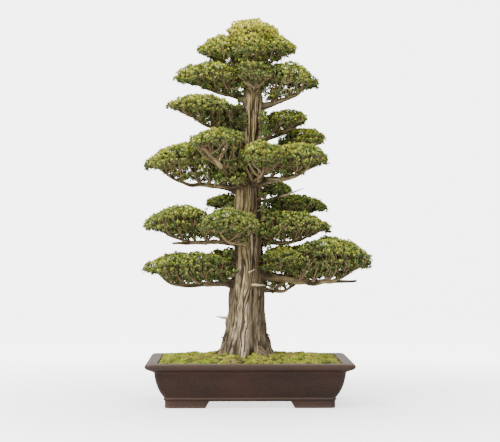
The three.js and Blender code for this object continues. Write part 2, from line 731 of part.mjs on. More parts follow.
// The origin goes under the middle of the plant's reach.
const box = new THREE.Box3().setFromObject(plant);
const middle = box.getCenter(new THREE.Vector3());
plant.children.forEach((mesh) => mesh.position.set(-middle.x, -middle.y, 0));

export default plant;
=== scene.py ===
# A large potted conifer trained as a formal upright tree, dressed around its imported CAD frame.
# Metres, +Z up, the show side faces -Y. Trunk, boughs and clouds of foliage follow the same
# sizes as the part's source, and are grown on from there to bark, twigs and sprays.
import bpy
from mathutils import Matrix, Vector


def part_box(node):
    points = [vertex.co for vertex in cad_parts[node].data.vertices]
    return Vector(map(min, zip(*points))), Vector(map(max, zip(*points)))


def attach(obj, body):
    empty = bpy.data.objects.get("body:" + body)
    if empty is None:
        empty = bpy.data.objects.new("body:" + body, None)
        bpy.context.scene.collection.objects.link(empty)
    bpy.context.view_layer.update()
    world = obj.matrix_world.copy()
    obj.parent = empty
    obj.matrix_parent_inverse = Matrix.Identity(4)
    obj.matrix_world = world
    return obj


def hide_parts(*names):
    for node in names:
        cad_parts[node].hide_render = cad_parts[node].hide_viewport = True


bl_info = {
    "name": "Potted Formal Upright Conifer",
    "version": (1, 0, 0),
    "blender": (4, 5, 0),
    "location": "View3D > Sidebar > Conifer",
    "description": "Builds a large potted conifer with bark, twigs, sprays of leaves and moss",
    "category": "Add Mesh",
}

import math

import bpy
import numpy as np
from mathutils import Vector

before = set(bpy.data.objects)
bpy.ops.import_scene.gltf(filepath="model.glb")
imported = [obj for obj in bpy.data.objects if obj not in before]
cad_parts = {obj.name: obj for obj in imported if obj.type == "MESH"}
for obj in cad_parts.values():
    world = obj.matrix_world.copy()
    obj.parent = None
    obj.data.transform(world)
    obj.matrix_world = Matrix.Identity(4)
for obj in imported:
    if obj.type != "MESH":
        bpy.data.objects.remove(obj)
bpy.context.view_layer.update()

# Where the CAD stands: the pot's middle, the ground in it and the trunk's tip
POT_LOW, POT_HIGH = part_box("pot")
MIDDLE_X = (POT_LOW.x + POT_HIGH.x) / 2
MIDDLE_Y = (POT_LOW.y + POT_HIGH.y) / 2
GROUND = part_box("trunk")[0].z
TRUNK_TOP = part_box("trunk")[1].z
MIDDLE = [MIDDLE_X, MIDDLE_Y]

# Camera: where the picture was taken from, seen from the pot's middle, and how far it turns aside and
# up, as pixels of the picture over its lens length in pixels
CAMERA_PLACE = (-0.060, -3.780, 0.422)
CAMERA_LENS_MM = 105.6
CAMERA_TURN = math.atan(24 / 1466)
CAMERA_RISE = math.atan(17 / 1466)
# How much brighter the floor looks to the camera than it lights the plant; it glows less near the pot, a
# painted soft shadow round it
FLOOR_GLOW = 4.6
# Even light from all round, and soft square lamps as (name, place, size, power, tint)
WORLD_LIGHT = 0.92
LAMPS = [
    ("key", (-2.2, -1.9, 2.6), 1.3, 165.0, (1.0, 0.97, 0.92)),
    ("fill", (2.2, -1.9, 1.2), 1.8, 14.0, (0.93, 0.96, 1.0)),
    ("rim", (0.2, 1.4, 2.7), 1.4, 40.0, (1.0, 1.0, 1.0)),
]
LAMP_AIM = Vector((0, 0, 0.5))

# Pot: a shallow rectangle with an overhanging lip, bellied walls and four corner feet
POT_LENGTH = POT_HIGH.x - POT_LOW.x
POT_DEPTH = POT_HIGH.y - POT_LOW.y
POT_HEIGHT = POT_HIGH.z
LIP_WIDTH = 0.031
CORNER_RADIUS = 0.014
POT_FLOOR = 0.034
FOOT_HEIGHT = 0.017
FOOT_WALL = 0.015
FOOT_INSET = 0.0478
FOOT_GAP_LONG = 0.212
FOOT_GAP_SHORT = 0.124
FOOT_SLOPE = 0.005
# Corners in turn, and steps round a corner, along a long side and along a short side
CORNERS = ((1, 1), (-1, 1), (-1, -1), (1, -1))
CORNER_STEPS = 8
SIDE_STEPS = (26, 18)
# Outer face of the pot as (inset from the lip's edge, height), from the feet up to the lip
POT_FACE = [
    (0.0475, 0.0172), (0.0480, 0.0188), (0.0458, 0.0200), (0.0450, 0.0212), (0.0455, 0.0250),
    (0.0462, 0.0262), (0.0450, 0.0275), (0.0375, 0.0380), (0.0315, 0.0500), (0.0265, 0.0650),
    (0.0235, 0.0800), (0.0225, 0.0880), (0.0222, 0.0900), (0.0170, 0.0930), (0.0050, 0.0980),
    (0.0010, 0.1015), (0.0000, 0.1060), (0.0015, 0.1100), (0.0060, 0.1120),
]
# Its inside in the same terms, from the lip down to the floor
POT_INSIDE = [
    (LIP_WIDTH - 0.0015, POT_HEIGHT), (LIP_WIDTH, POT_HEIGHT - 0.002),
    (LIP_WIDTH + 0.006, POT_HEIGHT - 0.030), (LIP_WIDTH + 0.020, POT_FLOOR + 0.008),
    (LIP_WIDTH + 0.026, POT_FLOOR),
]
# Rings of a foot from the ground up, as (height, chamfer)
FOOT_RINGS = [(0.0, 0.0010), (0.0012, 0.0), (0.0090, 0.0002), (FOOT_HEIGHT + 0.0006, 0.0)]
# Heights of the bead above the feet, which is painted lighter as a highlight, and of the lip's lower
# edge, above which the clay is too
BEAD_HEIGHT = 0.0250
LIP_HEIGHT = 0.0975
# Height below which a foot is worn
WORN_FOOT = 0.003
# How far the wall strays from its line for each metre out, and the angle over which an edge is sharp
POT_WAVES = 0.0022
CREASE_DEGREES = 32

# Soil and moss: level with the lip at the edge, with a low flat mound under the trunk, given by its
# half sizes and how gently it runs out, and broad cushions of moss spread by a two-way golden section
SOIL_EDGE = 0.109
MOUND_LENGTH = 0.128
MOUND_DEPTH = 0.108
MOUND_BLEND = 0.7
CUSHIONS = 38
CUSHION_REACH = 0.034
CUSHION_HEIGHT = 0.0065
# Half sizes of the bed, the gap round it, and how deep its skirt hangs and how far that is drawn in
BED_HALF_X = POT_LENGTH / 2 - LIP_WIDTH
BED_HALF_Y = POT_DEPTH / 2 - LIP_WIDTH
BED_GAP = 0.0006
MOSS_SKIRT = 0.030
SKIRT_SHARE = 0.965
# How far moss climbs between the roots, and the distance from the trunk's axis and the width of the
# band in which it does
MOSS_CLIMB = 0.006
CLIMB_BAND = (0.060, 0.020)
# Sizes of the lumps and nubs on the moss, the nubs' height, and where its edge begins to tuck under
# and how deep
LUMP_SIZE = 0.009
NUB_SIZE = 0.0035
NUB_HEIGHT = 0.0012
HEM_START = 0.97
HEM_DEPTH = 0.003
# Points across and along the moss bed; number, half width and least height of its small cushions
BED_POINTS = (210, 136)
SMALL_CUSHIONS = 2600
SMALL_WIDTH = (0.0035, 0.0100)
SMALL_STAND = 0.35
# Single blades of moss: height, half width, how far they are sunk in, and how far from the trunk's
# axis and from the bed's edge they begin
BLADE_HEIGHT = (0.0022, 0.0044)
BLADE_HALF_WIDTH = 0.0007
BLADE_SUNK = 0.0006
BLADES_FROM_TRUNK = 0.055
BLADES_FROM_EDGE = 0.002

# Trunk: girth as (height above the ground, radius), and the sway of its axis as (height, x)
TRUNK_GIRTH = [
    (0.000, 0.0580), (0.024, 0.0530), (0.051, 0.0495), (0.074, 0.0470), (0.095, 0.0450),
    (0.128, 0.0415), (0.162, 0.0420), (0.206, 0.0365), (0.270, 0.0350), (0.386, 0.0330),
    (0.450, 0.0295), (0.570, 0.0245), (0.644, 0.0250), (0.690, 0.0220), (0.721, 0.0140),
    (0.759, 0.0095), (0.804, 0.0040),
]
TRUNK_SWAY = [
    (0.000, -0.011), (0.128, -0.005), (0.270, -0.001), (0.386, -0.005), (0.450, -0.001), (0.570, 0.008),
    (0.670, 0.0095), (0.721, 0.004), (0.804, 0.000),
]
# Where the trunk's foot stands in X, from the pot's middle
FOOT_X = TRUNK_SWAY[0][1]
# Buttresses that swell out of the trunk's foot, and the hollows between them with a negative
# swell, as (heading, swell, height in which it fades, spread in degrees)
BUTTRESSES = [
    (267, 0.030, 0.052, 10), (309, 0.024, 0.034, 13), (351, 0.019, 0.028, 14), (46, 0.022, 0.026, 14),
    (98, 0.016, 0.030, 14), (140, 0.022, 0.030, 14), (186, 0.022, 0.032, 13), (230, 0.014, 0.040, 12),
    (289, -0.020, 0.055, 9), (249, -0.015, 0.045, 8), (330, -0.010, 0.050, 12), (20, -0.010, 0.050, 13),
    (72, -0.010, 0.050, 13), (120, -0.010, 0.050, 12), (163, -0.009, 0.050, 12),
    (208, -0.010, 0.050, 12),
]
# How far up and down the corners of girth and sway are rounded off
SOFT_REACH = 0.018
# Flutes that wind up the trunk, as (count, depth, more depth at the foot, phase, twist a metre), the
# height in which they fade, and how far broad bumps stand between them
FLUTES = [(5, 0.0018, 0.0034, 1.1, 12.0), (8, 0.0011, 0.0020, 2.0, -7.0)]
FLUTE_FADE = 0.12
TRUNK_BUMPS = 0.006
# How deep the trunk's mesh is sunk into the soil, rings up it and points round it, and how many strips
# of bark go round
TRUNK_SUNK = 0.003
TRUNK_RINGS = 190
TRUNK_SIDES = 300
TRUNK_STRIPS = 44
# Bark of the other limbs, as (points round a ring, strips round the limb, depth)
BARKS = {"root": (20, 5, 0.0022), "stub": (12, 4, 0.0008), "bough": (18, 6, 0.0022),
         "stem": (8, 5, 0.0010), "spur": (8, 5, 0.0008)}
# How far each kind of limb strays from its line, as (distance, length over which it does), and the
# length at its start in which it begins to
STRAYS = {"root": (0.004, 0.03), "stub": (0.0012, 0.02), "bough": (0.0032, 0.028),
          "stem": (0.0034, 0.024), "spur": (0.0015, 0.02)}
STRAY_START = 0.03
# Crevices and splits draw bark in by this share of its depth, so it is given back to all of it
DRAWN_IN = 0.30
# Knots on the trunk, as (heading, height above the ground, size, half of its spread across and up)
KNOTS = [
    (188, 0.082, 0.0060, 0.010, 0.014), (184, 0.044, 0.0050, 0.008, 0.010),
    (356, 0.040, 0.0050, 0.009, 0.012), (196, 0.160, 0.0015, 0.014, 0.012),
    (232, 0.128, 0.0035, 0.010, 0.020), (300, 0.150, 0.0035, 0.008, 0.018),
    (262, 0.236, 0.0040, 0.010, 0.016), (322, 0.262, 0.0040, 0.010, 0.016),
]
# The trunk's radius by which a knot's spread across is turned into an angle
KNOT_RADIUS = 0.045
# Sides of the trunk that are darkened, partly as damp bark and partly as painted shade, as (heading,
# steepness, cosine at which the darkening begins)
DAMP_AND_SHADE_SIDES = [(343, 3.2, 0.40), (184, 4.0, 0.62)]
# How much painted shade a hollow between buttresses gets for each metre that it is deep
HOLLOW_SHADE = 60
# Roots that run out over the soil, as (heading, reach, girth)
SURFACE_ROOTS = [
    (267, 0.096, 0.011), (309, 0.096, 0.011), (352, 0.088, 0.007), (48, 0.096, 0.010),
    (142, 0.098, 0.010), (188, 0.086, 0.008),
]
# Where each starts and bends, as (distance from the axis, height above the ground), and the height of
# its end
ROOT_LINE = ((0.020, 0.044), (0.062, 0.016))
ROOT_END = -0.002


def limb(name, heading, height, girth, plan, levels, **more):
    """One row of the table of limbs and their clouds."""
    row = dict(name=name, heading=heading, height=height, girth=girth, **more)
    row["inner"], row["reach"], row["half"] = plan
    row["under"], row["top"], row["tip"] = levels
    return row


# Limbs, tier by tier, as in the part's source, each as (name, heading, height, girth, plan, levels)
# and what sets it apart. heading: compass angle from +X, 270 is the show side. height: where the
# limb leaves the trunk's axis. girth: radius there. plan: the cloud's near end, far end and half
# width. levels: heights of its underside, its crown and its outer point. elbow: (distance from the
# axis, height) at which the bough enters its foliage. knee: what the stem beyond the elbow is drawn
# towards. spur: end of a bare dead branch. tone: how much lighter its leaves are than the tier's.
# open: how much of it is left open.
# A limb's tone is painted light and shade: lighter or darker as the light falls on its cloud
LIMBS = [
    limb("low_left", 182, 0.306, 0.008, (0.044, 0.271, 0.086), (0.315, 0.387, 0.346),
         elbow=(0.112, 0.304), knee=(0.212, 0.286)),
    limb("low_right", 352, 0.328, 0.0115, (0.122, 0.322, 0.098), (0.323, 0.425, 0.365),
         elbow=(0.126, 0.311), knee=(0.240, 0.296), spur=(0.280, 0.313), tone=-0.06),
    limb("low_right_front", 336, 0.338, 0.006, (0.040, 0.156, 0.048), (0.330, 0.397, 0.362), tone=-0.06),
    limb("low_right_back", 36, 0.294, 0.007, (0.064, 0.222, 0.066), (0.340, 0.405, 0.368),
         elbow=(0.084, 0.284)),
    limb("low_back", 112, 0.318, 0.007, (0.050, 0.205, 0.076), (0.340, 0.391, 0.362),
         elbow=(0.084, 0.322)),
    limb("second_left", 177, 0.413, 0.0075, (0.102, 0.271, 0.076), (0.430, 0.505, 0.457),
         elbow=(0.112, 0.411), spur=(0.197, 0.408), tone=0.05),
    limb("second_front_left", 242, 0.410, 0.0065, (0.046, 0.190, 0.078), (0.420, 0.496, 0.454),
         elbow=(0.092, 0.410), tone=-0.10),
    limb("second_right", 351, 0.410, 0.0065, (0.040, 0.211, 0.068), (0.427, 0.491, 0.452),
         elbow=(0.096, 0.410), tone=-0.10),
    limb("second_right_back", 33, 0.458, 0.006, (0.060, 0.253, 0.064), (0.485, 0.538, 0.507),
         elbow=(0.104, 0.470)),
    limb("second_left_back", 141, 0.490, 0.005, (0.040, 0.130, 0.042), (0.500, 0.538, 0.514)),
    limb("second_back", 86, 0.418, 0.007, (0.050, 0.190, 0.072), (0.440, 0.500, 0.460),
         elbow=(0.084, 0.424)),
    limb("third_left", 177, 0.545, 0.008, (0.072, 0.274, 0.076), (0.594, 0.668, 0.613),
         elbow=(0.104, 0.560), knee=(0.196, 0.552), tone=0.05),
    limb("third_right", 339, 0.566, 0.009, (0.068, 0.216, 0.060), (0.586, 0.666, 0.625),
         elbow=(0.092, 0.574)),
    limb("third_front_left", 230, 0.552, 0.0085, (0.062, 0.200, 0.070), (0.644, 0.699, 0.664),
         elbow=(0.112, 0.604), tone=-0.05),
    limb("third_front", 288, 0.556, 0.0075, (0.052, 0.176, 0.057), (0.598, 0.667, 0.628),
         elbow=(0.084, 0.572)),
    limb("third_right_back", 30, 0.596, 0.0065, (0.096, 0.229, 0.054), (0.660, 0.714, 0.684),
         elbow=(0.126, 0.628)),
    limb("third_left_back", 138, 0.566, 0.005, (0.040, 0.134, 0.042), (0.572, 0.618, 0.590)),
    limb("third_right_low", 22, 0.540, 0.005, (0.038, 0.124, 0.038), (0.530, 0.576, 0.550)),
    limb("third_back", 92, 0.582, 0.007, (0.046, 0.188, 0.070), (0.618, 0.680, 0.636),
         elbow=(0.084, 0.592)),
    limb("fourth_left", 188, 0.686, 0.0065, (0.032, 0.221, 0.068), (0.732, 0.790, 0.766),
         elbow=(0.106, 0.708)),
    limb("fourth_right", 27, 0.672, 0.0055, (0.028, 0.164, 0.052), (0.704, 0.759, 0.738),
         elbow=(0.080, 0.690)),
    limb("fourth_back", 124, 0.668, 0.0055, (0.038, 0.164, 0.058), (0.716, 0.768, 0.734),
         elbow=(0.074, 0.696)),
    limb("fifth_left", 184, 0.778, 0.0055, (0.030, 0.206, 0.060), (0.808, 0.880, 0.838),
         elbow=(0.104, 0.801), tone=0.05),
    limb("fifth_right", 353, 0.756, 0.007, (0.034, 0.173, 0.056), (0.802, 0.872, 0.819),
         elbow=(0.092, 0.782)),
    limb("fifth_front", 276, 0.792, 0.0045, (0.028, 0.108, 0.048), (0.820, 0.870, 0.836), tone=-0.32,
         open=0.60),
    limb("fifth_back", 86, 0.774, 0.0055, (0.030, 0.142, 0.058), (0.820, 0.876, 0.836),
         elbow=(0.066, 0.798)),
    limb("crown_left", 190, 0.862, 0.0045, (0.016, 0.139, 0.052), (0.876, 0.944, 0.909)),
    limb("crown_right", 350, 0.870, 0.0045, (0.016, 0.121, 0.050), (0.883, 0.945, 0.911)),
    limb("crown_back", 88, 0.862, 0.0045, (0.016, 0.104, 0.048), (0.888, 0.946, 0.908)),
    limb("crown_front", 270, 0.866, 0.004, (0.016, 0.092, 0.048), (0.878, 0.944, 0.906)),
]
CROWN_TOP = limb("crown_top", 0, TRUNK_TOP, 0.0036, (-0.062, 0.080, 0.0640), (0.916, 0.987, 0.950),
                 tone=0.34)
TIERS = ("low", "second", "third", "fourth", "fifth", "crown")

# Bare dead stubs as (heading, height, length, rise, girth, tip's heading, bend, dark). bend: how far
# out the stub bends aside, as a share of its reach. dark: how far out from the axis it is painted dark
# as shade inside the foliage, as a share. The short ones are the trunk's own.
DEAD_STUBS = {
    "dead_stub_left": (190, 0.214, 0.034, 0.006, 0.0044, 190, 0.6, 0.0),
    "dead_stub_front": (284, 0.301, 0.021, 0.001, 0.0038, 316, 1.05, 0.0),
    "dead_stub_right": (12, 0.512, 0.118, 0.040, 0.0036, 12, 0.5, 0.66),
}
TRUNK_STUBS = [
    (262, 0.331, 0.010, 0.011, 0.0030, 290, 1.1, 0.0),
    (196, 0.325, 0.027, 0.006, 0.0040, 196, 0.6, 0.0),
]
# Fine dead twigs that stand out of the bark at the trunk's foot, in the same terms
DEAD_TWIGS = [
    (186, 0.174, 0.015, -0.009, 0.0022, 176, 0.8, 1.0),
    (184, 0.166, 0.012, -0.004, 0.0018, 200, 0.8, 1.0),
    (356, 0.184, 0.016, -0.014, 0.0020, 350, 0.8, 1.0),
    (352, 0.166, 0.011, -0.006, 0.0018, 4, 0.8, 1.0),
]

# How far below their height the crown's stems leave the trunk, so that they rise as a funnel
CROWN_DROP = 0.030
# How much thicker a bough is where it leaves the trunk, and the length over which that fades
COLLAR_SWELL = 0.75
COLLAR_FADE = 0.012
# Girth of a stem as a share of its limb's, on a bough's tip or straight on the trunk, and at its tip;
# girth of a bare spur at both ends; girth of a dead stub's tip
STEM_ON_BOUGH = 0.82
STEM_ON_TRUNK = 0.80
STEM_TIP = 0.0020
SPUR_GIRTH = (0.0058, 0.0032)
STUB_TIP = 0.0012
# Girth of the short twigs that spring from the trunk itself
SHOOT_GIRTH = 0.0013

# Form of a cloud, as in the part's source: how much its crown slopes outwards, where its waist is
# between underside and crown, and how far its three and its five lobes swell
CLOUD_SKEW = 0.2
CLOUD_WAIST = 0.42
LOBE_THREE = 0.09
LOBE_FIVE = 0.06
# How much narrower than an oval a cloud runs out at its outer point
POINTED = 0.4
GOLDEN_ANGLE = math.pi * (3 - math.sqrt(5))
# Distance along a stem between the nodes that its branches fan out from, how far in the first is and
# how far they stray; distance between the branches' ends round the rim of a cloud and inside it
FAN_SPACING = 0.036
FAN_START = 0.010
FAN_STRAY = 0.008
BRANCH_SPACING = (0.019, 0.032)
# How far inwards of its own end a branch looks for the node that it springs from
FAN_LEAN = (0.004, 0.026)
# How much the skin of a cloud swells and sinks, and over what width
LUMP_STAND = 0.014
LUMP_WIDTH = 0.030
# Area that one tuft takes up as a share of its spacing squared
TUFT_CELL = 0.87
# How clear of limbs tufts and sprays keep, and how far out of an earlier cloud tufts do, as a share
TUFT_MARGIN = 0.004
SPRAY_MARGIN = 0.0015
CLOUD_MARGIN = 0.86
# Tufts over a bare bough: how far they swing aside and how high they stand
BOUGH_SWING = 0.020
BOUGH_STAND = (0.008, 0.036)
# Shaded tufts under a cloud for each on top, and on each centimetre of bare bough in a tier
UNDER_TUFTS = 1.25
BOUGH_TUFTS = {"low": 0.8, "second": 1.2, "third": 3.0, "fourth": 3.4, "fifth": 3.0, "crown": 1.0}
# How far the shaded tufts of a tier hang below its stems, close to the trunk
UNDER_HANG = {"low": 0.0, "second": 0.0, "third": 0.006, "fourth": 0.008, "fifth": 0.010,
              "crown": 0.026}
# Sprigs that spring from the trunk itself, as (heading, spread, near, far, low, high, number)
SPRIGS = {
    "low": [(346, 18, 0.046, 0.068, 0.335, 0.415, 30), (204, 10, 0.048, 0.064, 0.335, 0.385, 8),
            (24, 18, 0.050, 0.110, 0.288, 0.316, 18)],
    "second": [(330, 20, 0.042, 0.064, 0.425, 0.535, 40), (206, 14, 0.042, 0.058, 0.440, 0.500, 10)],
    "third": [(224, 16, 0.034, 0.052, 0.610, 0.690, 24), (318, 18, 0.034, 0.052, 0.610, 0.690, 26),
              (242, 18, 0.044, 0.098, 0.556, 0.626, 64), (190, 20, 0.040, 0.092, 0.556, 0.604, 46)],
    "fourth": [(218, 18, 0.030, 0.048, 0.690, 0.780, 30), (322, 16, 0.030, 0.046, 0.690, 0.745, 24)],
    "fifth": [(212, 26, 0.026, 0.050, 0.790, 0.850, 24), (330, 20, 0.028, 0.046, 0.800, 0.850, 12)],
    "crown": [(0, 180, 0.008, 0.020, 0.822, 0.842, 30), (0, 180, 0.010, 0.042, 0.842, 0.862, 70),
              (0, 180, 0.014, 0.060, 0.862, 0.888, 90)],
}

# Seeds of what is drawn at random, each the first of its kind, and the step between those of clouds
SEEDS = {"trunk": 7, "blades": 88, "roots": 90, "trunk_stubs": 140, "dead_twigs": 150,
         "dead_stubs": 160, "boughs": 300, "cushions": 404, "sprigs": 5000, "clouds": 7936}
CLOUD_SEED_STEP = 7919

# How far out from the trunk a bough is painted dark as shade, as a share, where it is not a quarter
BOUGH_PAINTED_SHADE = {"third_front_left": 0.80, "third_right": 0.22, "third_front": 0.7}

# A spray as a fan of narrow fingers from one root, each (angle, reach), widest at its shoulder
FINGERS = [(-36, 0.84), (0, 1.0), (36, 0.84)]
SHOULDER = 0.5
FINGER_WIDTH = 0.20
# Length of a spray as a share of its tuft's radius, and the longest there is
SPRAY_LENGTH = (0.68, 1.08)
LONGEST_SPRAY = 0.0140
# Leaf colours from painted shade to painted light, the lighter ones partly new growth, with how far up
# the scale of light each begins
LEAF_SLOTS = ["leaf_deep", "leaf_shade", "leaf_mid", "leaf_fresh", "leaf_bright", "leaf_gold"]
LEAF_STEPS = [0.22, 0.42, 0.62, 0.82, 1.02]
# Share of the fingers that are dying
RUSSET_SHARE = 0.09
# How light the leaves of each tier are: partly the yellower new growth towards the crown, and partly
# painted light
TIER_TONE = {"low": 0.07, "second": 0.07, "third": 0.10, "fourth": 0.10, "fifth": 0.17, "crown": 0.30}
# Painted shade: how much darker the leaves are at the end of a cloud that is next to the trunk
INNER_SHADE = 0.36
# Painted light: how much lighter the leaves are on the far side, which stands in the shade of the rest
FAR_TONE = 0.07


def length_property(label, words, value, low, high):
    """A length that a user can change."""
    return bpy.props.FloatProperty(
        name=label, description=words, default=value, min=low, max=high, unit="LENGTH")


def count_property(label, words, value, low, high):
    """A number of things that a user can change."""
    return bpy.props.IntProperty(name=label, description=words, default=value, min=low, max=high)


class ConiferSizes(bpy.types.PropertyGroup):
    """The sizes of the fine work that a user would change."""

    bark_depth: length_property(
        "Bark depth", "Depth of the deepest crevices in the trunk's bark", 0.0048, 0.0, 0.01)
    tuft_radius: length_property(
        "Tuft radius", "Radius of one tuft of sprays on a cloud", 0.0084, 0.005, 0.03)
    tuft_spacing: length_property(
        "Tuft spacing", "Distance between neighbouring tufts on a cloud's crown", 0.0122, 0.008, 0.05)
    sprays_in_tuft: count_property("Sprays in a tuft", "Number of sprays in each tuft", 8, 4, 60)
    twig_girth: length_property(
        "Twig girth", "Radius of a branch where it leaves its bough", 0.0019, 0.0005, 0.006)
    moss_cushion: length_property(
        "Moss cushion height", "How far the moss cushions stand over the soil", 0.0055, 0.0, 0.016)
    moss_blades: count_property(
        "Moss blades", "Number of single moss blades over the bed", 16000, 0, 60000)


def colour_property(label, words, value):
    """A colour that a user can change."""
    return bpy.props.FloatVectorProperty(
        name=label, description=words, default=value, subtype="COLOR", size=3, min=0.0, max=1.0)


class ConiferColours(bpy.types.PropertyGroup):
    """The colours of every finish on the plant and its pot."""

    # Lit and shaded copies of one leaf: deep and shaded ones are painted shade inside and under the
    # clouds, fresh, bright and golden ones partly new growth and partly painted light on top
    leaf_deep: colour_property("Deep leaf", "Sprays inside and under a cloud", (0.120, 0.128, 0.049))
    leaf_shade: colour_property("Shaded leaf", "Sprays low on a tuft", (0.110, 0.176, 0.058))
    leaf_mid: colour_property("Leaf", "Most sprays", (0.152, 0.244, 0.082))
    leaf_fresh: colour_property("Fresh leaf", "Sprays on top of a tuft", (0.252, 0.346, 0.082))
    leaf_bright: colour_property("Bright leaf", "New growth", (0.400, 0.455, 0.076))
    leaf_gold: colour_property("Golden leaf", "Sunlit new growth at the apex", (0.760, 0.750, 0.100))
    leaf_russet: colour_property("Russet leaf", "A dying spray here and there", (0.340, 0.232, 0.104))
    twig_pale: colour_property("Pale twig", "Outer side branches", (0.380, 0.265, 0.165))
    twig_tan: colour_property("Tan twig", "Most fine twigs", (0.215, 0.140, 0.082))
    # Dark twigs as painted shade, dealt at random to some of the twigs inside the foliage
    twig_dark: colour_property("Dark twig", "Inner twigs", (0.090, 0.058, 0.036))
    bark_light: colour_property("Light bark", "Raised weathered strips", (0.880, 0.735, 0.545))
    bark_mid: colour_property("Bark", "Body of the bark", (0.405, 0.300, 0.178))
    # Dark bark for the fibres of the grain, and as painted shade deep in the crevices
    bark_dark: colour_property("Crevice bark", "Deep between the strips", (0.050, 0.034, 0.020))
    # Dark bark for the damp sides, also used as painted shade there, in the hollows and on the shaded
    # parts of boughs and stubs
    bark_damp: colour_property("Damp bark", "The trunk's damp side", (0.075, 0.053, 0.027))
    bark_olive: colour_property("Olive bark", "Algae on the bark", (0.265, 0.200, 0.062))
    wood_pale: colour_property("Bleached wood", "Bare dead wood", (0.760, 0.630, 0.400))
    # Grey wood for the grain's streaks, and as painted shade in the cracks
    wood_grey: colour_property("Grey wood", "Cracks in bare dead wood", (0.380, 0.290, 0.190))
    moss_green: colour_property("Moss", "Living moss", (0.072, 0.122, 0.012))
    moss_bright: colour_property("Bright moss", "Tips of the moss cushions", (0.480, 0.520, 0.062))
    moss_tan: colour_property("Dry moss", "Dry patches", (0.290, 0.220, 0.080))
    moss_soil: colour_property("Soil", "Dark soil between the cushions", (0.052, 0.040, 0.020))
    clay_body: colour_property("Clay", "Unglazed wall of the pot", (0.050, 0.0205, 0.0125))
    clay_dark: colour_property("Dark clay", "Darker blush on the pot", (0.026, 0.0135, 0.0095))
    # Pale clay for worn edges and feet and the specks, and as painted highlight on the bead, the lip and
    # upward faces
    clay_worn: colour_property("Worn clay", "Edges and upward faces", (0.150, 0.112, 0.090))
    floor_pale: colour_property("Floor", "Pale studio floor and backdrop", (0.800, 0.800, 0.800))


def sizes():
    """The sizes set on this scene."""
    return bpy.context.scene.conifer_sizes


def colour(name):
    """A colour set on this scene, with its alpha."""
    return (*getattr(bpy.context.scene.conifer_colours, name), 1.0)


# Numbers


def unit(vectors):
    """Each vector at a length of one."""
    return vectors / np.maximum(np.linalg.norm(vectors, axis=-1, keepdims=True), 1e-12)


def lattice_noise(points, seed):
    """Smooth noise from 0 to 1 at each of n points, from a seeded lattice of values."""
    table = np.random.default_rng(seed).random(1 << 14)
    cell = np.floor(points).astype(np.int64)
    part = points - cell
    part = part * part * (3 - 2 * part)
    total = np.zeros(len(points))
    for corner in np.ndindex(2, 2, 2):
        at = cell + corner
        key = (at[:, 0] * 73856093) ^ (at[:, 1] * 19349663) ^ (at[:, 2] * 83492791)
        weight = np.where(corner, part, 1 - part).prod(axis=1)
        total += weight * table[key & (len(table) - 1)]
    return total


def between(stations, x):
    """The value at x on a line through (x, value) stations."""
    places, values = zip(*stations)
    return np.interp(x, places, values)


def softened(stations, x):
    """As between, with the corners at the stations rounded off."""
    shifts = np.linspace(-SOFT_REACH, SOFT_REACH, 5)
    return np.mean([between(stations, x + shift) for shift in shifts], axis=0)


def bezier(start, bend, end, steps):
    """Points along curves with one bend: n starts, bends and ends give (n, steps, 3)."""
    t = np.linspace(0, 1, steps)[None, :, None]
    start, bend, end = (np.atleast_2d(p)[:, None, :] for p in (start, bend, end))
    return (1 - t) ** 2 * start + 2 * t * (1 - t) * bend + t**2 * end


# Meshes


# Vertices of a part whose faces stand on those of the part before it
NO_POINTS = np.zeros((0, 3))


def build_mesh(name, parts, materials, attributes=None, smooth=False):
    """One mesh object from parts (vertices, faces, slot), where faces is an (m, corners) array."""
    vertices = np.concatenate([np.asarray(part[0]).reshape(-1, 3) for part in parts])
    corners, lengths, slots, first = [], [], [], 0
    for places, faces, slot in parts:
        corners.append((faces + first).ravel())
        lengths.append(np.full(len(faces), faces.shape[1]))
        slots.append(np.broadcast_to(slot, len(faces)))
        first += len(np.asarray(places).reshape(-1, 3))
    corners, lengths, slots = (np.concatenate(a).astype(np.int32) for a in (corners, lengths, slots))
    mesh = bpy.data.meshes.new(name)
    mesh.vertices.add(len(vertices))
    mesh.vertices.foreach_set("co", vertices.astype(np.float32).ravel())
    mesh.loops.add(len(corners))
    mesh.loops.foreach_set("vertex_index", corners)
    mesh.polygons.add(len(lengths))
    starts = np.concatenate([[0], np.cumsum(lengths)[:-1]]).astype(np.int32)
    mesh.polygons.foreach_set("loop_start", starts)
    for material in materials:
        mesh.materials.append(material)
    mesh.polygons.foreach_set("material_index", slots)
    mesh.polygons.foreach_set("use_smooth", np.full(len(lengths), smooth))
    for label, values in (attributes or {}).items():
        kind, field = ("FLOAT", "value") if values.ndim == 1 else ("FLOAT_VECTOR", "vector")
        layer = mesh.attributes.new(label, kind, "POINT")
        layer.data.foreach_set(field, values.astype(np.float32).ravel())
    mesh.update(calc_edges=True)
    piece = bpy.data.objects.new(name, mesh)
    bpy.context.scene.collection.objects.link(piece)
    return piece


def closed(vertices, quads, caps, slot=0, cap_slot=None):
    """A closed body as parts of a mesh: its sides, and end caps on the same vertices."""
    cap_slot = slot if cap_slot is None else cap_slot
    return [(vertices, quads, slot), (NO_POINTS, caps - len(vertices), cap_slot)]


def dress(piece, nodes):
    """The piece moves with the plant and stands for CAD nodes, which it hides."""
    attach(piece, "root")
    if nodes:
        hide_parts(*nodes)
    return piece


def circle_of(sides):
    """The turns of points spread evenly round a circle."""
    return np.arange(sides) * 2 * math.pi / sides


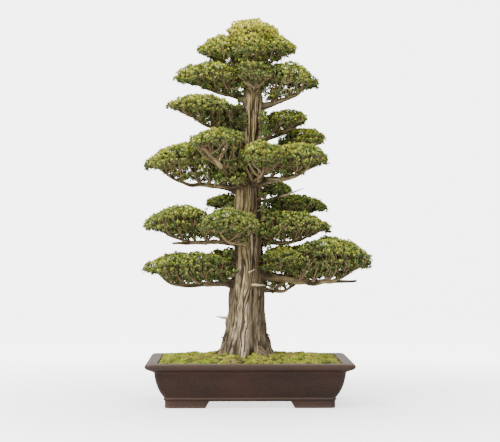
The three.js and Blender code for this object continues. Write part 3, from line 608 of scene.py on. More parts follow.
def ring_faces(tubes, rings, sides):
    """Quads of n tubes of rings, and their two end caps, all turned outwards."""
    ring = np.arange(sides)
    low = np.arange(rings - 1)[:, None] * sides
    quads = np.stack([low + ring, low + (ring + 1) % sides,
                      low + sides + (ring + 1) % sides, low + sides + ring], axis=-1).reshape(-1, 4)
    shift = (np.arange(tubes) * rings * sides)[:, None]
    starts = shift + ring[::-1]
    ends = shift + (rings - 1) * sides + ring
    return (quads[None] + shift[:, :, None]).reshape(-1, 4), np.concatenate([starts, ends])


def tube_frames(paths):
    """Two directions across each path at each point, and the direction along it."""
    along = unit(np.gradient(paths, axis=1))
    steep = np.abs(unit(paths[:, -1] - paths[:, 0])[:, 2]) > 0.8
    reference = np.where(steep[:, None], [[0.0, 1.0, 0.0]], [[0.0, 0.0, 1.0]])[:, None, :]
    side = unit(np.cross(np.broadcast_to(reference, along.shape), along))
    return side, np.cross(along, side)


def tubes(paths, radii, sides):
    """Closed tapering tubes: (n, k, 3) paths and (n, k) radii give vertices, quads and caps."""
    count, rings = radii.shape
    side, up = tube_frames(paths)
    turn = circle_of(sides)
    across = (np.cos(turn)[:, None] * side[:, :, None, :] + np.sin(turn)[:, None] * up[:, :, None, :])
    vertices = paths[:, :, None, :] + radii[:, :, None, None] * across
    quads, caps = ring_faces(count, rings, sides)
    return vertices.reshape(-1, 3), quads, caps


def bark_relief(turn, run, seed, strips):
    """How far bark stands out, from -0.9 in a crevice to about 0.7, and how deep each point lies."""
    round_it = np.stack([np.cos(turn), np.sin(turn), run], axis=1)
    bend = 0.6 * lattice_noise(round_it / [1, 1, 0.10], seed + 5)
    bend += 0.22 * lattice_noise(round_it / [0.28, 0.28, 0.030], seed + 6)

    def skin(count, length, number):
        """Noise in so many strips round the limb, each patch as long as that."""
        circle = count / (2 * math.pi)
        angle = turn + bend
        places = np.stack([np.cos(angle) * circle, np.sin(angle) * circle, run / length], axis=1)
        return lattice_noise(places, seed + number)

    plates, shreds, fibres = skin(strips, 0.10, 0), skin(strips * 1.9, 0.05, 1), skin(strips * 3, 0.02, 2)
    crevice = np.exp(-(((plates - 0.5) / 0.075) ** 2))
    split = np.exp(-(((shreds - 0.48) / 0.10) ** 2))
    stand = 0.45 * (plates - 0.5) + 0.60 * (shreds - 0.5) + 0.40 * (fibres - 0.5)
    stand += DRAWN_IN - 0.75 * crevice - 0.5 * split
    return stand, np.clip(0.9 * crevice + 0.6 * split, 0, 1)


def bark_tube(path, radii, bark, seed, dark=0.0):
    """A limb with bark: vertices, quads, caps, and each vertex's grain, cavity and painted shade."""
    sides, strips, depth = bark
    side, up = tube_frames(path[None])
    rings = len(path)
    turn = np.tile(circle_of(sides), rings)
    run = np.repeat(run_along(path), sides)
    radius = np.broadcast_to(radii.reshape(rings, -1), (rings, sides)).ravel()
    stand, cavity = bark_relief(turn, run, seed, strips)
    reach = radius + stand * np.minimum(depth, radius * 0.3)
    across = (np.cos(turn)[:, None] * np.repeat(side[0], sides, axis=0)
              + np.sin(turn)[:, None] * np.repeat(up[0], sides, axis=0))
    vertices = np.repeat(path, sides, axis=0) + reach[:, None] * across
    quads, caps = ring_faces(1, rings, sides)
    grain = np.stack([radius * np.cos(turn), radius * np.sin(turn), run * 0.12], axis=1)
    # Painted shade on the inner share of the limb, which stands in the foliage's shade
    shade = np.clip((dark - run / run[-1]) / 0.12, 0, 1)
    return vertices, quads, caps, grain, cavity, shade


# The plant's own lines, as in the part's source


def run_along(path):
    """How far along a path each of its points lies."""
    return np.concatenate([[0], np.cumsum(np.linalg.norm(np.diff(path, axis=0), axis=1))])


def off_heading(turn, heading):
    """The angle from a compass heading to a turn, within half a circle."""
    return (turn - math.radians(heading) + math.pi) % (2 * math.pi) - math.pi


def buttress(turn, above, heading, fade, spread_degrees):
    """How much of a buttress or hollow is felt at a turn round the trunk and a height above ground."""
    return np.exp(-((off_heading(turn, heading) / math.radians(spread_degrees)) ** 2) - above / fade)


def axis_x(height):
    """Where the trunk's axis stands in X at a height."""
    return MIDDLE_X + between(TRUNK_SWAY, height - GROUND)


def trunk_radius(height):
    """The trunk's radius at a height, without its buttresses."""
    return between(TRUNK_GIRTH, height - GROUND)


def out_from(height, heading, distance, z):
    """Points at a distance from the trunk's axis along a compass heading."""
    turn = math.radians(heading)
    distance, z = np.broadcast_arrays(np.asarray(distance, float), np.asarray(z, float))
    return np.stack([axis_x(height) + distance * math.cos(turn),
                     MIDDLE_Y + distance * math.sin(turn), z], axis=-1)


class Cloud:
    """The space that a mass of foliage keeps to: a domed cloud, pointed at its outer end."""

    def __init__(self, row, phase):
        self.row, self.phase = row, phase
        self.name, self.tier = row["name"], row["name"].split("_")[0]
        self.middle = row["under"] + (row["top"] - row["under"]) * CLOUD_WAIST
        self.centre = (row["reach"] + row["inner"]) / 2
        self.long_half = (row["reach"] - row["inner"]) / 2
        across = math.radians(row["heading"] + 90)
        self.sideways = np.array([math.cos(across), math.sin(across), 0.0])
        self.outwards = np.array([math.sin(across), -math.cos(across), 0.0])
        self.foot = out_from(row["height"], row["heading"], 0, 0)
        self.area = math.pi * self.long_half * row["half"]
        self.girth = math.pi * (self.long_half + row["half"])

    def out(self, points):
        """How far points lie from the trunk's axis along the cloud's heading."""
        return (points - self.foot) @ self.outwards

    def lobes(self, turn):
        """How much the cloud's plan is drawn out or in at a turn round it."""
        ripple = (LOBE_THREE * np.sin(3 * turn + self.phase)
                  + LOBE_FIVE * np.sin(5 * turn + 1.7 * self.phase))
        return 1 + ripple * np.sin(turn) ** 2

    def at(self, p, q, lift, plan=1.0, tall=1.0):
        """The points at (p, q) of a unit disc in plan, and lift from -1 underside to +1 crown."""
        row = self.row
        p, q, lift = np.broadcast_arrays(*(np.asarray(a, float) for a in (p, q, lift)))
        lobes = self.lobes(np.arctan2(q, p))
        distance = self.centre + self.long_half * p * plan * lobes
        depth = np.where(lift > 0, row["top"] - self.middle, self.middle - row["under"])
        skewed = np.where(lift > 0, 1 - CLOUD_SKEW * p, 1)
        z = self.middle + (row["tip"] - self.middle) * p + lift * tall * depth * skewed
        ahead = out_from(row["height"], row["heading"], distance, z)
        return ahead + (row["half"] * q * plan * lobes)[..., None] * self.sideways

    def depth_of(self, points):
        """How far out points lie in this cloud: 0 at its middle, 1 on its skin."""
        row = self.row
        p = (self.out(points) - self.centre) / self.long_half
        q = (points - self.foot) @ self.sideways / row["half"]
        lobes = self.lobes(np.arctan2(q, p))
        p, q = p / lobes, q / lobes
        rise = points[:, 2] - self.middle - (row["tip"] - self.middle) * p
        depth = np.where(rise > 0, (row["top"] - self.middle) * (1 - CLOUD_SKEW * np.clip(p, -1, 1)),
                         self.middle - row["under"])
        return np.sqrt(p**2 + q**2 + (rise / depth) ** 2)


CLOUDS = [Cloud(row, 2.4 * index) for index, row in enumerate(LIMBS)] + [Cloud(CROWN_TOP, 2.1)]


def bough_line(row, steps):
    """The bough from the trunk's axis to where it enters its foliage."""
    distance, z = row["elbow"]
    height, heading = row["height"], row["heading"]
    bend = out_from(height, heading, distance * 0.55, height + (z - height) * 0.3)
    start, end = out_from(height, heading, 0, height), out_from(height, heading, distance, z)
    return bezier(start, bend, end, steps)[0]


def stem_line(cloud, steps):
    """The stem inside a cloud: on from the bough's tip or the trunk, level and then up."""
    row = cloud.row
    height, heading = row["height"], row["heading"]
    end = cloud.at(0.72, 0, -0.2, 0.9, 0.5)
    if cloud.name == "crown_top":
        start = out_from(height, 0, 0, TRUNK_TOP - 0.01)
        return bezier(start, (start + end) / 2, cloud.at(0, 0, 0), steps)[0]
    if "elbow" not in row:
        drop = CROWN_DROP if cloud.tier == "crown" else 0
        start = out_from(height, heading, 0, height - drop)
        bend = out_from(height, heading, (row["inner"] + row["reach"]) * 0.3, height + 0.006 - drop * 0.4)
        return bezier(start, bend, end, steps)[0]
    line = bough_line(row, 12)
    arrive = unit(line[-1] - line[-2])
    start = line[-1]
    bend = start + arrive * np.linalg.norm(end - start) * 0.55
    if "knee" in row:
        bend = out_from(height, heading, *row["knee"])
    return bezier(start, bend, end, steps)[0]


def wander(path, kind, seed):
    """A path that strays a little from its line, as its kind of limb does, and not at its start."""
    reach, scale = STRAYS[kind]
    stray = np.stack([lattice_noise(path / scale, seed + k) - 0.5 for k in range(3)], axis=1)
    return path + 2 * reach * stray * np.minimum(run_along(path) / STRAY_START, 1)[:, None]


def bough_path(row, seed):
    """The bough's line with the bends of an old branch."""
    return wander(bough_line(row, 44), "bough", seed)


def clear_of_limbs(points, margin):
    """Which points lie clear of the trunk and of every bough."""
    x, y, z = points.T
    clear = np.hypot(x - axis_x(z), y - MIDDLE_Y) > trunk_radius(z) + margin
    for row in LIMBS:
        if "elbow" not in row:
            continue
        line = bough_line(row, 14)
        near = (points > line.min(0) - 0.02).all(1) & (points < line.max(0) + 0.02).all(1)
        if near.any():
            gap = np.linalg.norm(points[near][:, None] - line[None], axis=2).min(axis=1)
            clear[near] &= gap > row["girth"] + margin
    return clear


def weathered(points):
    """How dark and how green bark is: the trunk's sides are darkened as damp and as painted shade, the
    hollows between its buttresses get painted shade, and its foot has no algae.
    """
    x, y, z = points[:, 0] - axis_x(points[:, 2]), points[:, 1] - MIDDLE_Y, points[:, 2]
    turn = np.arctan2(y, x)
    on_trunk = np.clip(2.4 - 1.2 * np.hypot(x, y) / (trunk_radius(z) + 0.014), 0, 1)
    patches = lattice_noise(points * [1, 1, 0.4] / 0.026, 41)
    above = np.clip((z - GROUND - 0.05) / 0.17, 0, 1)
    damp_and_shade = np.zeros(len(points))
    for heading, steep, begins in DAMP_AND_SHADE_SIDES:
        turned = np.cos(turn - math.radians(heading)) - begins
        damp_and_shade = np.maximum(damp_and_shade, np.clip(steep * turned + 1.4 * (patches - 0.5), 0, 1))
    damp_and_shade *= (0.84 + 0.16 * above) * (1 - 0.42 * np.clip((z - 0.46) / 0.12, 0, 1))
    # Painted shade in the hollows between the buttresses
    for heading, size, fade, spread_degrees in BUTTRESSES:
        hollow = buttress(turn, np.maximum(z - GROUND, 0), heading, fade, spread_degrees)
        damp_and_shade = np.maximum(damp_and_shade, np.clip(-HOLLOW_SHADE * size * hollow, 0, 1))
    damp_and_shade *= on_trunk
    green = above * np.clip(0.25 + 1.0 * lattice_noise(points * [1, 1, 0.25] / 0.014, 42), 0, 1)
    green = np.maximum(green, 0.9 * (1 - on_trunk))
    return damp_and_shade, green


def bark_object(name, limbs, materials):
    """One mesh of several barked limbs, each (bark_tube result, slot)."""
    parts = []
    for (vertices, quads, caps, *_), slot in limbs:
        parts += closed(vertices, quads, caps, slot)
    grain, cavity, dark = (np.concatenate(a) for a in zip(*(limb[3:] for limb, slot in limbs)))
    damp_and_shade, green = weathered(np.concatenate([part[0] for part in parts]))
    # Each limb's painted shade joins the damp sides and the painted shade of the hollows
    attributes = {"grain": grain, "cavity": cavity, "green": green, "dark": dark,
                  "damp_and_shade": np.maximum(damp_and_shade, dark)}
    return build_mesh(name, parts, materials, attributes, smooth=True)


# Foliage


def sunflower(count, reach):
    """Points spread evenly over a disc, as (distance, turn)."""
    index = np.arange(count)
    return np.sqrt((index + 0.5) / count) * reach, index * GOLDEN_ANGLE


def ring(count, reach):
    """Points spread evenly round a ring, as (distance, turn)."""
    return np.full(count, reach), (np.arange(count) + 0.5) * 2 * math.pi / count


def cloud_tufts(cloud, rng):
    """Where the tufts of a cloud sit: base, axis, radius and a painted tone, from shade at 0 inside to
    light at 1 on top.
    """
    size = sizes()
    top = max(10, round(cloud.area / (size.tuft_spacing**2 * TUFT_CELL)))
    rim = round(cloud.girth / (size.tuft_spacing * 0.86))
    # (distance and turn of each, lift or None for the dome, radius, tone of painted light, share that is
    # left out)
    layers = [
        (sunflower(top, 0.93), None, 1.0, 0.42, 0.0),
        (ring(rim, 0.985), -0.05, 0.72, 0.36, 0.0),
        (ring(rim, 0.93), 0.34, 0.80, 0.38, 0.0),
        (ring(rim, 0.90), -0.35, 0.80, 0.20, 0.25),
        (sunflower(round(top * 0.30), 0.78), 0.45, 1.7, 0.04, 0.0),
        (sunflower(round(top * 0.26), 0.84), 0.00, 1.7, 0.02, 0.0),
    ]
    found = []
    for (reach, turn), lift, scale, tone, bare in layers:
        count = len(reach)
        reach = np.clip(reach + rng.normal(0, 0.02, count), 0, 1)
        turn = turn + rng.normal(0, 0.05, count)
        p, q = reach * np.cos(turn), reach * np.sin(turn)
        if lift is None:
            high = np.sqrt(np.maximum(1 - reach**2, 0))
        else:
            high = lift + rng.normal(0, 0.09, count)
        pointed = 1 - POINTED * np.clip(p, 0, 1) ** 4
        surface = cloud.at(p, q * pointed, high * pointed)
        axis = unit(unit(surface - cloud.at(p * 0.6, q * 0.6, -0.3)) + [0, 0, 0.25])
        radius = size.tuft_radius * scale * rng.uniform(0.78, 1.2, count)
        lump = LUMP_STAND * (lattice_noise(surface / LUMP_WIDTH, 77) - 0.5)
        base = surface + axis * (lump - 0.95 * radius + rng.normal(0, 0.0018, count))[:, None]
        cover = lattice_noise(surface / LUMP_WIDTH, 78) + rng.uniform(-0.2, 0.2, count)
        keep = cover > max(bare, cloud.row.get("open", 0))
        # Painted shade at the cloud's end next to the trunk
        shade = INNER_SHADE * np.clip(-p - 0.35, 0, 0.5) * (cloud.tier != "crown")
        found.append([a[keep] for a in (base, axis, radius, tone - shade)])
    return [np.concatenate(a) for a in zip(*found)]


def keep_to_space(cloud, bases):
    """Which tufts lie clear of the limbs and of the clouds that were there first."""
    keep = clear_of_limbs(bases, TUFT_MARGIN)
    for other in CLOUDS[: CLOUDS.index(cloud)]:
        keep &= other.depth_of(bases) > CLOUD_MARGIN
    return keep


def spray_mesh(root, forward, side, length, cup):
    """Flat fans of fingers: vertices, and triangles as (sprays, 6, 3), root and tip by turns."""
    up = np.cross(forward, side)
    corners, faces = [root], []
    for finger, (angle, reach) in enumerate(FINGERS):
        turn = math.radians(angle)
        along = math.cos(turn) * forward + math.sin(turn) * side
        across = math.cos(turn) * side - math.sin(turn) * forward
        size = (length * reach)[:, None]
        shoulder = root + along * size * SHOULDER
        tip = root + (along + up * cup[:, None]) * size
        corners += [shoulder - across * size * FINGER_WIDTH, shoulder + across * size * FINGER_WIDTH, tip]
        first = 1 + 3 * finger
        faces += [(0, first, first + 1), (first + 1, first, first + 2)]
    points = np.stack(corners, axis=1)
    shift = np.arange(len(root)) * len(corners)
    return points, np.array(faces)[None] + shift[:, None, None]


def tuft_directions(axis, count, widest, rng):
    """Directions spread evenly over a cap round each tuft's axis: (tufts, count, 3)."""
    step = (np.arange(count) + 0.5) / count
    cosine = 1 - step * (1 - math.cos(widest))
    turn = np.arange(count) * GOLDEN_ANGLE + rng.uniform(0, 2 * math.pi, (len(axis), 1))
    turn = turn + rng.normal(0, 0.25, (len(axis), count))
    cosine = np.clip(cosine + rng.normal(0, 0.07, (len(axis), count)), -1, 1)
    sine = np.sqrt(1 - cosine**2)
    helper = np.where(np.abs(axis[:, 2:]) > 0.9, [[1.0, 0.0, 0.0]], [[0.0, 0.0, 1.0]])
    side = unit(np.cross(helper, axis))
    up = np.cross(axis, side)
    return (cosine[..., None] * axis[:, None] + (sine * np.cos(turn))[..., None] * side[:, None]
            + (sine * np.sin(turn))[..., None] * up[:, None])


def sprays_of(lightness, bases, axes, radii, tones, rng):
    """The sprays of tufts, as one mesh part with a leaf colour for each face."""
    count = sizes().sprays_in_tuft
    aim = tuft_directions(axes, count, 1.8, rng)
    start = rng.uniform(0.04, 0.44, aim.shape[:2]) * radii[:, None]
    root = (bases[:, None] + aim * start[..., None]).reshape(-1, 3)
    length = radii[:, None] * rng.uniform(*SPRAY_LENGTH, aim.shape[:2])
    length = np.minimum(length, LONGEST_SPRAY).ravel()
    aim = unit(aim + rng.normal(0, 0.24, aim.shape) + [0, 0, 0.3]).reshape(-1, 3)
    level = unit(np.cross([0.0, 0.0, 1.0], aim))
    roll = rng.normal(0, 0.8, len(aim))[:, None]
    side = level * np.cos(roll) + np.cross(aim, level) * np.sin(roll)
    points, faces = spray_mesh(root, aim, side, length, rng.normal(0.05, 0.12, len(aim)))
    keep = clear_of_limbs(root + aim * length[:, None] * 0.6, SPRAY_MARGIN)
    tones, radii = tones.repeat(count), radii.repeat(count)
    # Painted light and shade: sprays that point up, stand high or far out in their tuft, or sit in
    # lighter tufts get lighter colours; finger tips get a step lighter colour than their roots
    high = aim[:, 2] + 0.5 * (root[:, 2] - bases[:, 2].repeat(count)) / radii
    score = (tones + lightness + 0.34 * (high - 0.2) + 0.3 * (start.ravel() / radii - 0.24)
             + 0.40 * (lattice_noise(root / 0.05, 31) - 0.5) + rng.normal(0, 0.11, len(aim)))
    tips = np.tile([-0.09, 0.17], len(FINGERS))
    tips = tips + rng.normal(0, 0.24, (len(aim), len(FINGERS))).repeat(2, axis=1)
    slot = np.digitize(score[:, None] + tips, LEAF_STEPS)
    slot[rng.random(slot.shape) < RUSSET_SHARE] = len(LEAF_SLOTS)
    return [(points[keep].reshape(-1, 3), faces[: keep.sum()].reshape(-1, 3), slot[keep].ravel())]


def limb_stations(cloud):
    """The line that a cloud's branches spring from: its bough's outer part and its stem."""
    stem = stem_line(cloud, 60)
    if "elbow" not in cloud.row:
        return stem
    bough = bough_line(cloud.row, 30)
    return np.concatenate([bough[12:-1], stem])


def arched(starts, ends, out, up, steps):
    """Curves whose bend lies at one share of the way out to their ends and another of the way up."""
    flat, rise = (ends - starts) * [1, 1, 0], (ends - starts) * [0, 0, 1]
    return bezier(starts, starts + flat * out + rise * up, ends, steps)


def crooked(paths, reach, rng):
    """Paths with their inner points pushed a little off the line."""
    push = rng.normal(0, reach, paths.shape)
    push[:, 0] = 0
    push[:, -1] = 0
    return paths + push


def twig_parts(paths, girths, shades, sides):
    """Twigs that taper to half their girth as mesh parts, each of one of the plain twig colours."""
    thick = girths[:, None] * np.linspace(1, 0.5, paths.shape[1])
    vertices, quads, caps = tubes(paths, thick, sides)
    return closed(vertices, quads, caps, np.repeat(shades, len(quads) // len(paths)), 1)


def fans_of(cloud, rng):
    """The branches of a cloud, in fans from nodes on its stem up into it: (branches, points, 3)."""
    line = limb_stations(cloud)
    run = run_along(line)
    places = np.arange(FAN_START, run[-1] * 0.96, FAN_SPACING)
    places = places + rng.uniform(-FAN_STRAY, FAN_STRAY, len(places))
    nodes = np.stack([np.interp(places, run, line[:, k]) for k in range(3)], axis=1)
    outer, inner = (round(cloud.girth / spacing) for spacing in BRANCH_SPACING)
    reach, turn = (np.concatenate(pair) for pair in zip(ring(outer, 0.90), sunflower(inner, 0.70)))
    count = len(reach)
    turn = turn + rng.normal(0, 0.08, count)
    lift = rng.uniform(-0.35, 0.0, count)
    anchor = cloud.at(reach * np.cos(turn), reach * np.sin(turn), lift, 0.95, 0.8)
    inwards = anchor - cloud.outwards * rng.uniform(*FAN_LEAN, (count, 1))
    apart = np.linalg.norm((inwards[:, None] - nodes[None])[..., :2], axis=2)
    further = cloud.out(nodes)[None] - cloud.out(anchor)[:, None]
    start = nodes[(apart + 0.8 * np.clip(further + 0.012, 0, None)).argmin(axis=1)]
    return crooked(arched(start, anchor, 0.60, 0.34, 7), 0.0012, rng)


def under_tufts(cloud, rng):
    """Shaded tufts between a cloud and its stem, closing in on the stem towards the outer end."""
    size = sizes()
    count = round(UNDER_TUFTS * cloud.area / (size.tuft_spacing**2 * TUFT_CELL))
    reach, turn = sunflower(count, 1.0)
    turn = turn + rng.uniform(0, 1, count)
    p, q = reach * np.cos(turn) * 1.1 - 0.12, reach * np.sin(turn) * 0.75
    upper = cloud.at(p, q, -0.35)
    line = limb_stations(cloud)
    out, away = cloud.out(line), cloud.out(upper)
    order = np.argsort(out)
    level = np.interp(away, out[order], line[order, 2])
    level = level - UNDER_HANG[cloud.tier] * np.clip(1.1 - away / cloud.row["reach"], 0, 1)
    lower = upper * [1, 1, 0] + level[:, None] * [0, 0, 1]
    lower -= (0.75 * cloud.row["half"] * q)[:, None] * cloud.sideways
    fall = rng.uniform(0, 1, count) * (0.85 + 0.10 * p)
    base = upper + (lower - upper) * fall[:, None]
    cover = lattice_noise(base / 0.014, 79) + rng.uniform(-0.2, 0.2, count)
    keep = cover > 0.18 + 0.26 * fall + 0.16 * p
    axis = unit(upper - lower + rng.normal(0, 0.012, upper.shape) + cloud.outwards * 0.01)
    radius = size.tuft_radius * rng.uniform(0.9, 1.45, count)
    # Painted shade: the lower a tuft hangs, the darker
    tone = 0.16 - 0.10 * fall
    return [a[keep] for a in (base, axis, radius, tone)]


def bough_tufts(cloud, rng):
    """Shaded tufts on side twigs over the bare part of a bough, where the tier has them."""
    line = bough_line(cloud.row, 30)[6:]
    count = round(BOUGH_TUFTS[cloud.tier] * np.linalg.norm(line[-1] - line[0]) / 0.01)
    spring = line[rng.integers(0, len(line), count)]
    swing = rng.normal(0, BOUGH_SWING, count)[:, None] * cloud.sideways
    base = spring + swing + rng.uniform(*BOUGH_STAND, count)[:, None] * [0, 0, 1]
    axis = unit(base - spring + rng.normal(0, 0.006, spring.shape))
    radius = sizes().tuft_radius * rng.uniform(0.85, 1.35, count)
    return [base, axis, radius, np.full(count, 0.10)]


def trunk_sprigs(tier, rng):
    """Tufts on short twigs straight out of the trunk, with the place where each twig starts."""
    found = []
    for heading, spread_degrees, near, far, low, high, count in SPRIGS[tier]:
        turn = np.radians(heading + spread_degrees * rng.uniform(-1, 1, count))
        z = rng.uniform(low, high, count)
        out = rng.uniform(near, far, count)
        aim = np.stack([np.cos(turn), np.sin(turn), np.zeros(count)], axis=1)
        axis_at = np.stack([axis_x(z), np.full(count, MIDDLE_Y), z], axis=1)
        base = axis_at + aim * out[:, None]
        start = axis_at + aim * (trunk_radius(z) * 0.7)[:, None] - [0, 0, 0.012]
        axis = unit(aim + [0, 0, 0.5] + rng.normal(0, 0.3, aim.shape))
        radius = sizes().tuft_radius * rng.uniform(0.85, 1.3, count)
        # A low tone, painted shade close to the trunk
        found.append([base, axis, radius, np.full(count, 0.12), start])
    return [np.concatenate(a) for a in zip(*found)]


def branch_parts(branches, rng):
    """The branches as mesh parts."""
    count = len(branches)
    girths = sizes().twig_girth * rng.uniform(0.7, 1.1, count)
    return twig_parts(branches, girths, rng.choice([0, 0, 0, 1], count), 4)


def twigs_to(bases, paths, rng):
    """The twigs to each tuft from the nearest of the paths, as mesh parts."""
    ends, starts = paths[:, 2:].reshape(-1, 3), paths[:, 1:-1].reshape(-1, 3)
    nearest = np.linalg.norm(bases[:, None] - ends[None], axis=2).argmin(axis=1)
    first = starts[nearest]
    twig = crooked(arched(first, bases, 0.55, 0.35, 3), 0.001, rng)
    girths = sizes().twig_girth * 0.6 * rng.uniform(0.8, 1.2, len(bases))
    return twig_parts(twig, girths, rng.choice([0, 1, 1, 2], len(bases)), 3)


def stem_of(cloud, seed):
    """The stem through a cloud, and its dead spur where it has one, as barked limbs."""
    row = cloud.row
    girth = row["girth"] * (STEM_ON_BOUGH if "elbow" in row else STEM_ON_TRUNK)
    path = wander(stem_line(cloud, 36), "stem", seed)
    if "elbow" in row:
        back = bough_path(row, seed)[-3:-1]
        path = np.concatenate([back, path])
    radii = np.linspace(girth, STEM_TIP, len(path))
    limbs = [bark_tube(path, radii, BARKS["stem"], seed)]
    if "spur" in row:
        end = out_from(row["height"], row["heading"], *row["spur"])
        start = path[int(len(path) * 0.15)]
        spur = wander(bezier(start, (start + end) / 2 - [0, 0, 0.002], end, 16)[0], "spur", seed)
        limbs.append(bark_tube(spur, np.linspace(*SPUR_GIRTH, 16), BARKS["spur"], seed + 3))
    return limbs


# Materials


class Wiring:
    """Adds nodes to the tree of a material or a group. An input takes a plain value or an output."""

    def __init__(self, tree):
        self.tree = tree

    def feed(self, socket, value):
        """A socket is linked to an output, or holds a plain value."""
        if isinstance(value, bpy.types.NodeSocket):
            self.tree.links.new(value, socket)
        else:
            socket.default_value = value

    def put(self, kind, inputs=None, **settings):
        """The outputs of a new node with its settings and inputs."""
        node = self.tree.nodes.new(kind)
        for name, value in settings.items():
            setattr(node, name, value)
        for label, value in (inputs or {}).items():
            self.feed(node.inputs[label], value)
        return node.outputs

    def attribute(self, name, output="Fac"):
        """What the mesh holds at each point under a name."""
        return self.put("ShaderNodeAttribute", attribute_name=name)[output]

    def noise(self, place, scale, detail, roughness):
        """Noise over a place in space."""
        inputs = {"Vector": place, "Scale": scale, "Detail": detail, "Roughness": roughness}
        return self.put("ShaderNodeTexNoise", inputs)["Fac"]

    def blend(self, share, first, second):
        """The colour between two, each a colour's name or an output, at a share from 0 to 1."""
        first, second = (colour(c) if isinstance(c, str) else c for c in (first, second))
        return self.put("ShaderNodeMix", {0: share, 6: first, 7: second}, data_type="RGBA")[2]

    def spread(self, value, low, high, to_low=0.0, to_high=1.0):
        """A value stretched from one range to another and held within it."""
        labels = ("Value", "From Min", "From Max", "To Min", "To Max")
        inputs = dict(zip(labels, (value, low, high, to_low, to_high)))
        return self.put("ShaderNodeMapRange", inputs)[0]

    def math(self, operation, first, second):
        """Two values put together by a sum, product or the like."""
        return self.put("ShaderNodeMath", {0: first, 1: second}, operation=operation)[0]

    def effect(self, group, **values):
        """The outputs of an effect's group with its own values."""
        inputs = {label.replace("_", " "): value for label, value in values.items()}
        return self.put("ShaderNodeGroup", inputs, node_tree=group)

    def finish(self, shader, base, rough, height, strength, distance):
        """The shader's colour, its roughness, and fine relief from a height pattern."""
        self.feed(shader["Base Color"], base)
        self.feed(shader["Roughness"], rough)
        inputs = {"Height": height, "Strength": strength, "Distance": distance}
        self.feed(shader["Normal"], self.put("ShaderNodeBump", inputs)["Normal"])


def made_once(store):
    """Lets a function make the datablock of its own name in a store of bpy.data, and only once."""
    def wrap(make):
        def fetch():
            found = getattr(bpy.data, store)
            return found[make.__name__] if make.__name__ in found else make(make.__name__)
        return fetch
    return wrap


def effect_group(name, given, results):
    """A shader group with named inputs, each with its value, and named outputs."""
    tree = bpy.data.node_groups.new(name, "ShaderNodeTree")
    for label, value in given.items():
        kind = "NodeSocketFloat" if isinstance(value, float) else "NodeSocketVector"
        socket = tree.interface.new_socket(name=label, in_out="INPUT", socket_type=kind)
        socket.default_value = value
    for label in results:
        tree.interface.new_socket(name=label, in_out="OUTPUT", socket_type="NodeSocketFloat")
    inputs, outputs = tree.nodes.new("NodeGroupInput").outputs, tree.nodes.new("NodeGroupOutput").inputs
    return tree, Wiring(tree), inputs, outputs


@made_once("node_groups")
def streaked_grain(name):
    """Long streaks and fine fibres that run along a limb's grain."""
    given = {"Grain": (0.0, 0.0, 0.0), "Streak Scale": 270.0, "Fibre Scale": 560.0}
    tree, wire, inputs, outputs = effect_group(name, given, ["Streaks", "Fibres", "Height"])
    wide = wire.noise(inputs["Grain"], inputs["Streak Scale"], 3.0, 0.6)
    fine = wire.noise(inputs["Grain"], inputs["Fibre Scale"], 2.0, 0.5)
    wire.feed(outputs["Streaks"], wire.spread(wide, 0.40, 0.60))
    wire.feed(outputs["Fibres"], wire.spread(fine, 0.34, 0.66))
    wire.feed(outputs["Height"], wire.math("ADD", wire.math("MULTIPLY", wide, 0.6), fine))
    return tree


@made_once("node_groups")
def mottling(name):
    """Broad cloudy patches and fine specks, the same on every face."""
    given = {"Patch Scale": 14.0, "Speck Scale": 420.0, "Stretch": (1.0, 1.0, 1.0)}
    tree, wire, inputs, outputs = effect_group(name, given, ["Patches", "Specks", "Height"])
    place = wire.put("ShaderNodeTexCoord")["Object"]
    pulled = wire.put("ShaderNodeVectorMath", {0: place, 1: inputs["Stretch"]}, operation="MULTIPLY")[0]
    broad = wire.noise(pulled, inputs["Patch Scale"], 4.0, 0.55)
    fine = wire.noise(pulled, inputs["Speck Scale"], 2.0, 0.6)
    wire.feed(outputs["Patches"], wire.spread(broad, 0.34, 0.66))
    wire.feed(outputs["Specks"], wire.spread(fine, 0.36, 0.64))
    wire.feed(outputs["Height"], fine)
    return tree


def new_material(name, roughness, specular):
    """A new material, what wires its nodes, and its shader's inputs."""
    material = bpy.data.materials.new(name)
    material.use_nodes = True
    shader = material.node_tree.nodes["Principled BSDF"].inputs
    shader["Roughness"].default_value = roughness
    shader["Specular IOR Level"].default_value = specular
    return material, Wiring(material.node_tree), shader


def plain_material(name, roughness=0.75, specular=0.08):
    """A leaf, twig or blade of one plain colour, named as its colour is."""
    if name in bpy.data.materials:
        return bpy.data.materials[name]
    material, _, shader = new_material(name, roughness, specular)
    shader["Base Color"].default_value = colour(name)
    return material


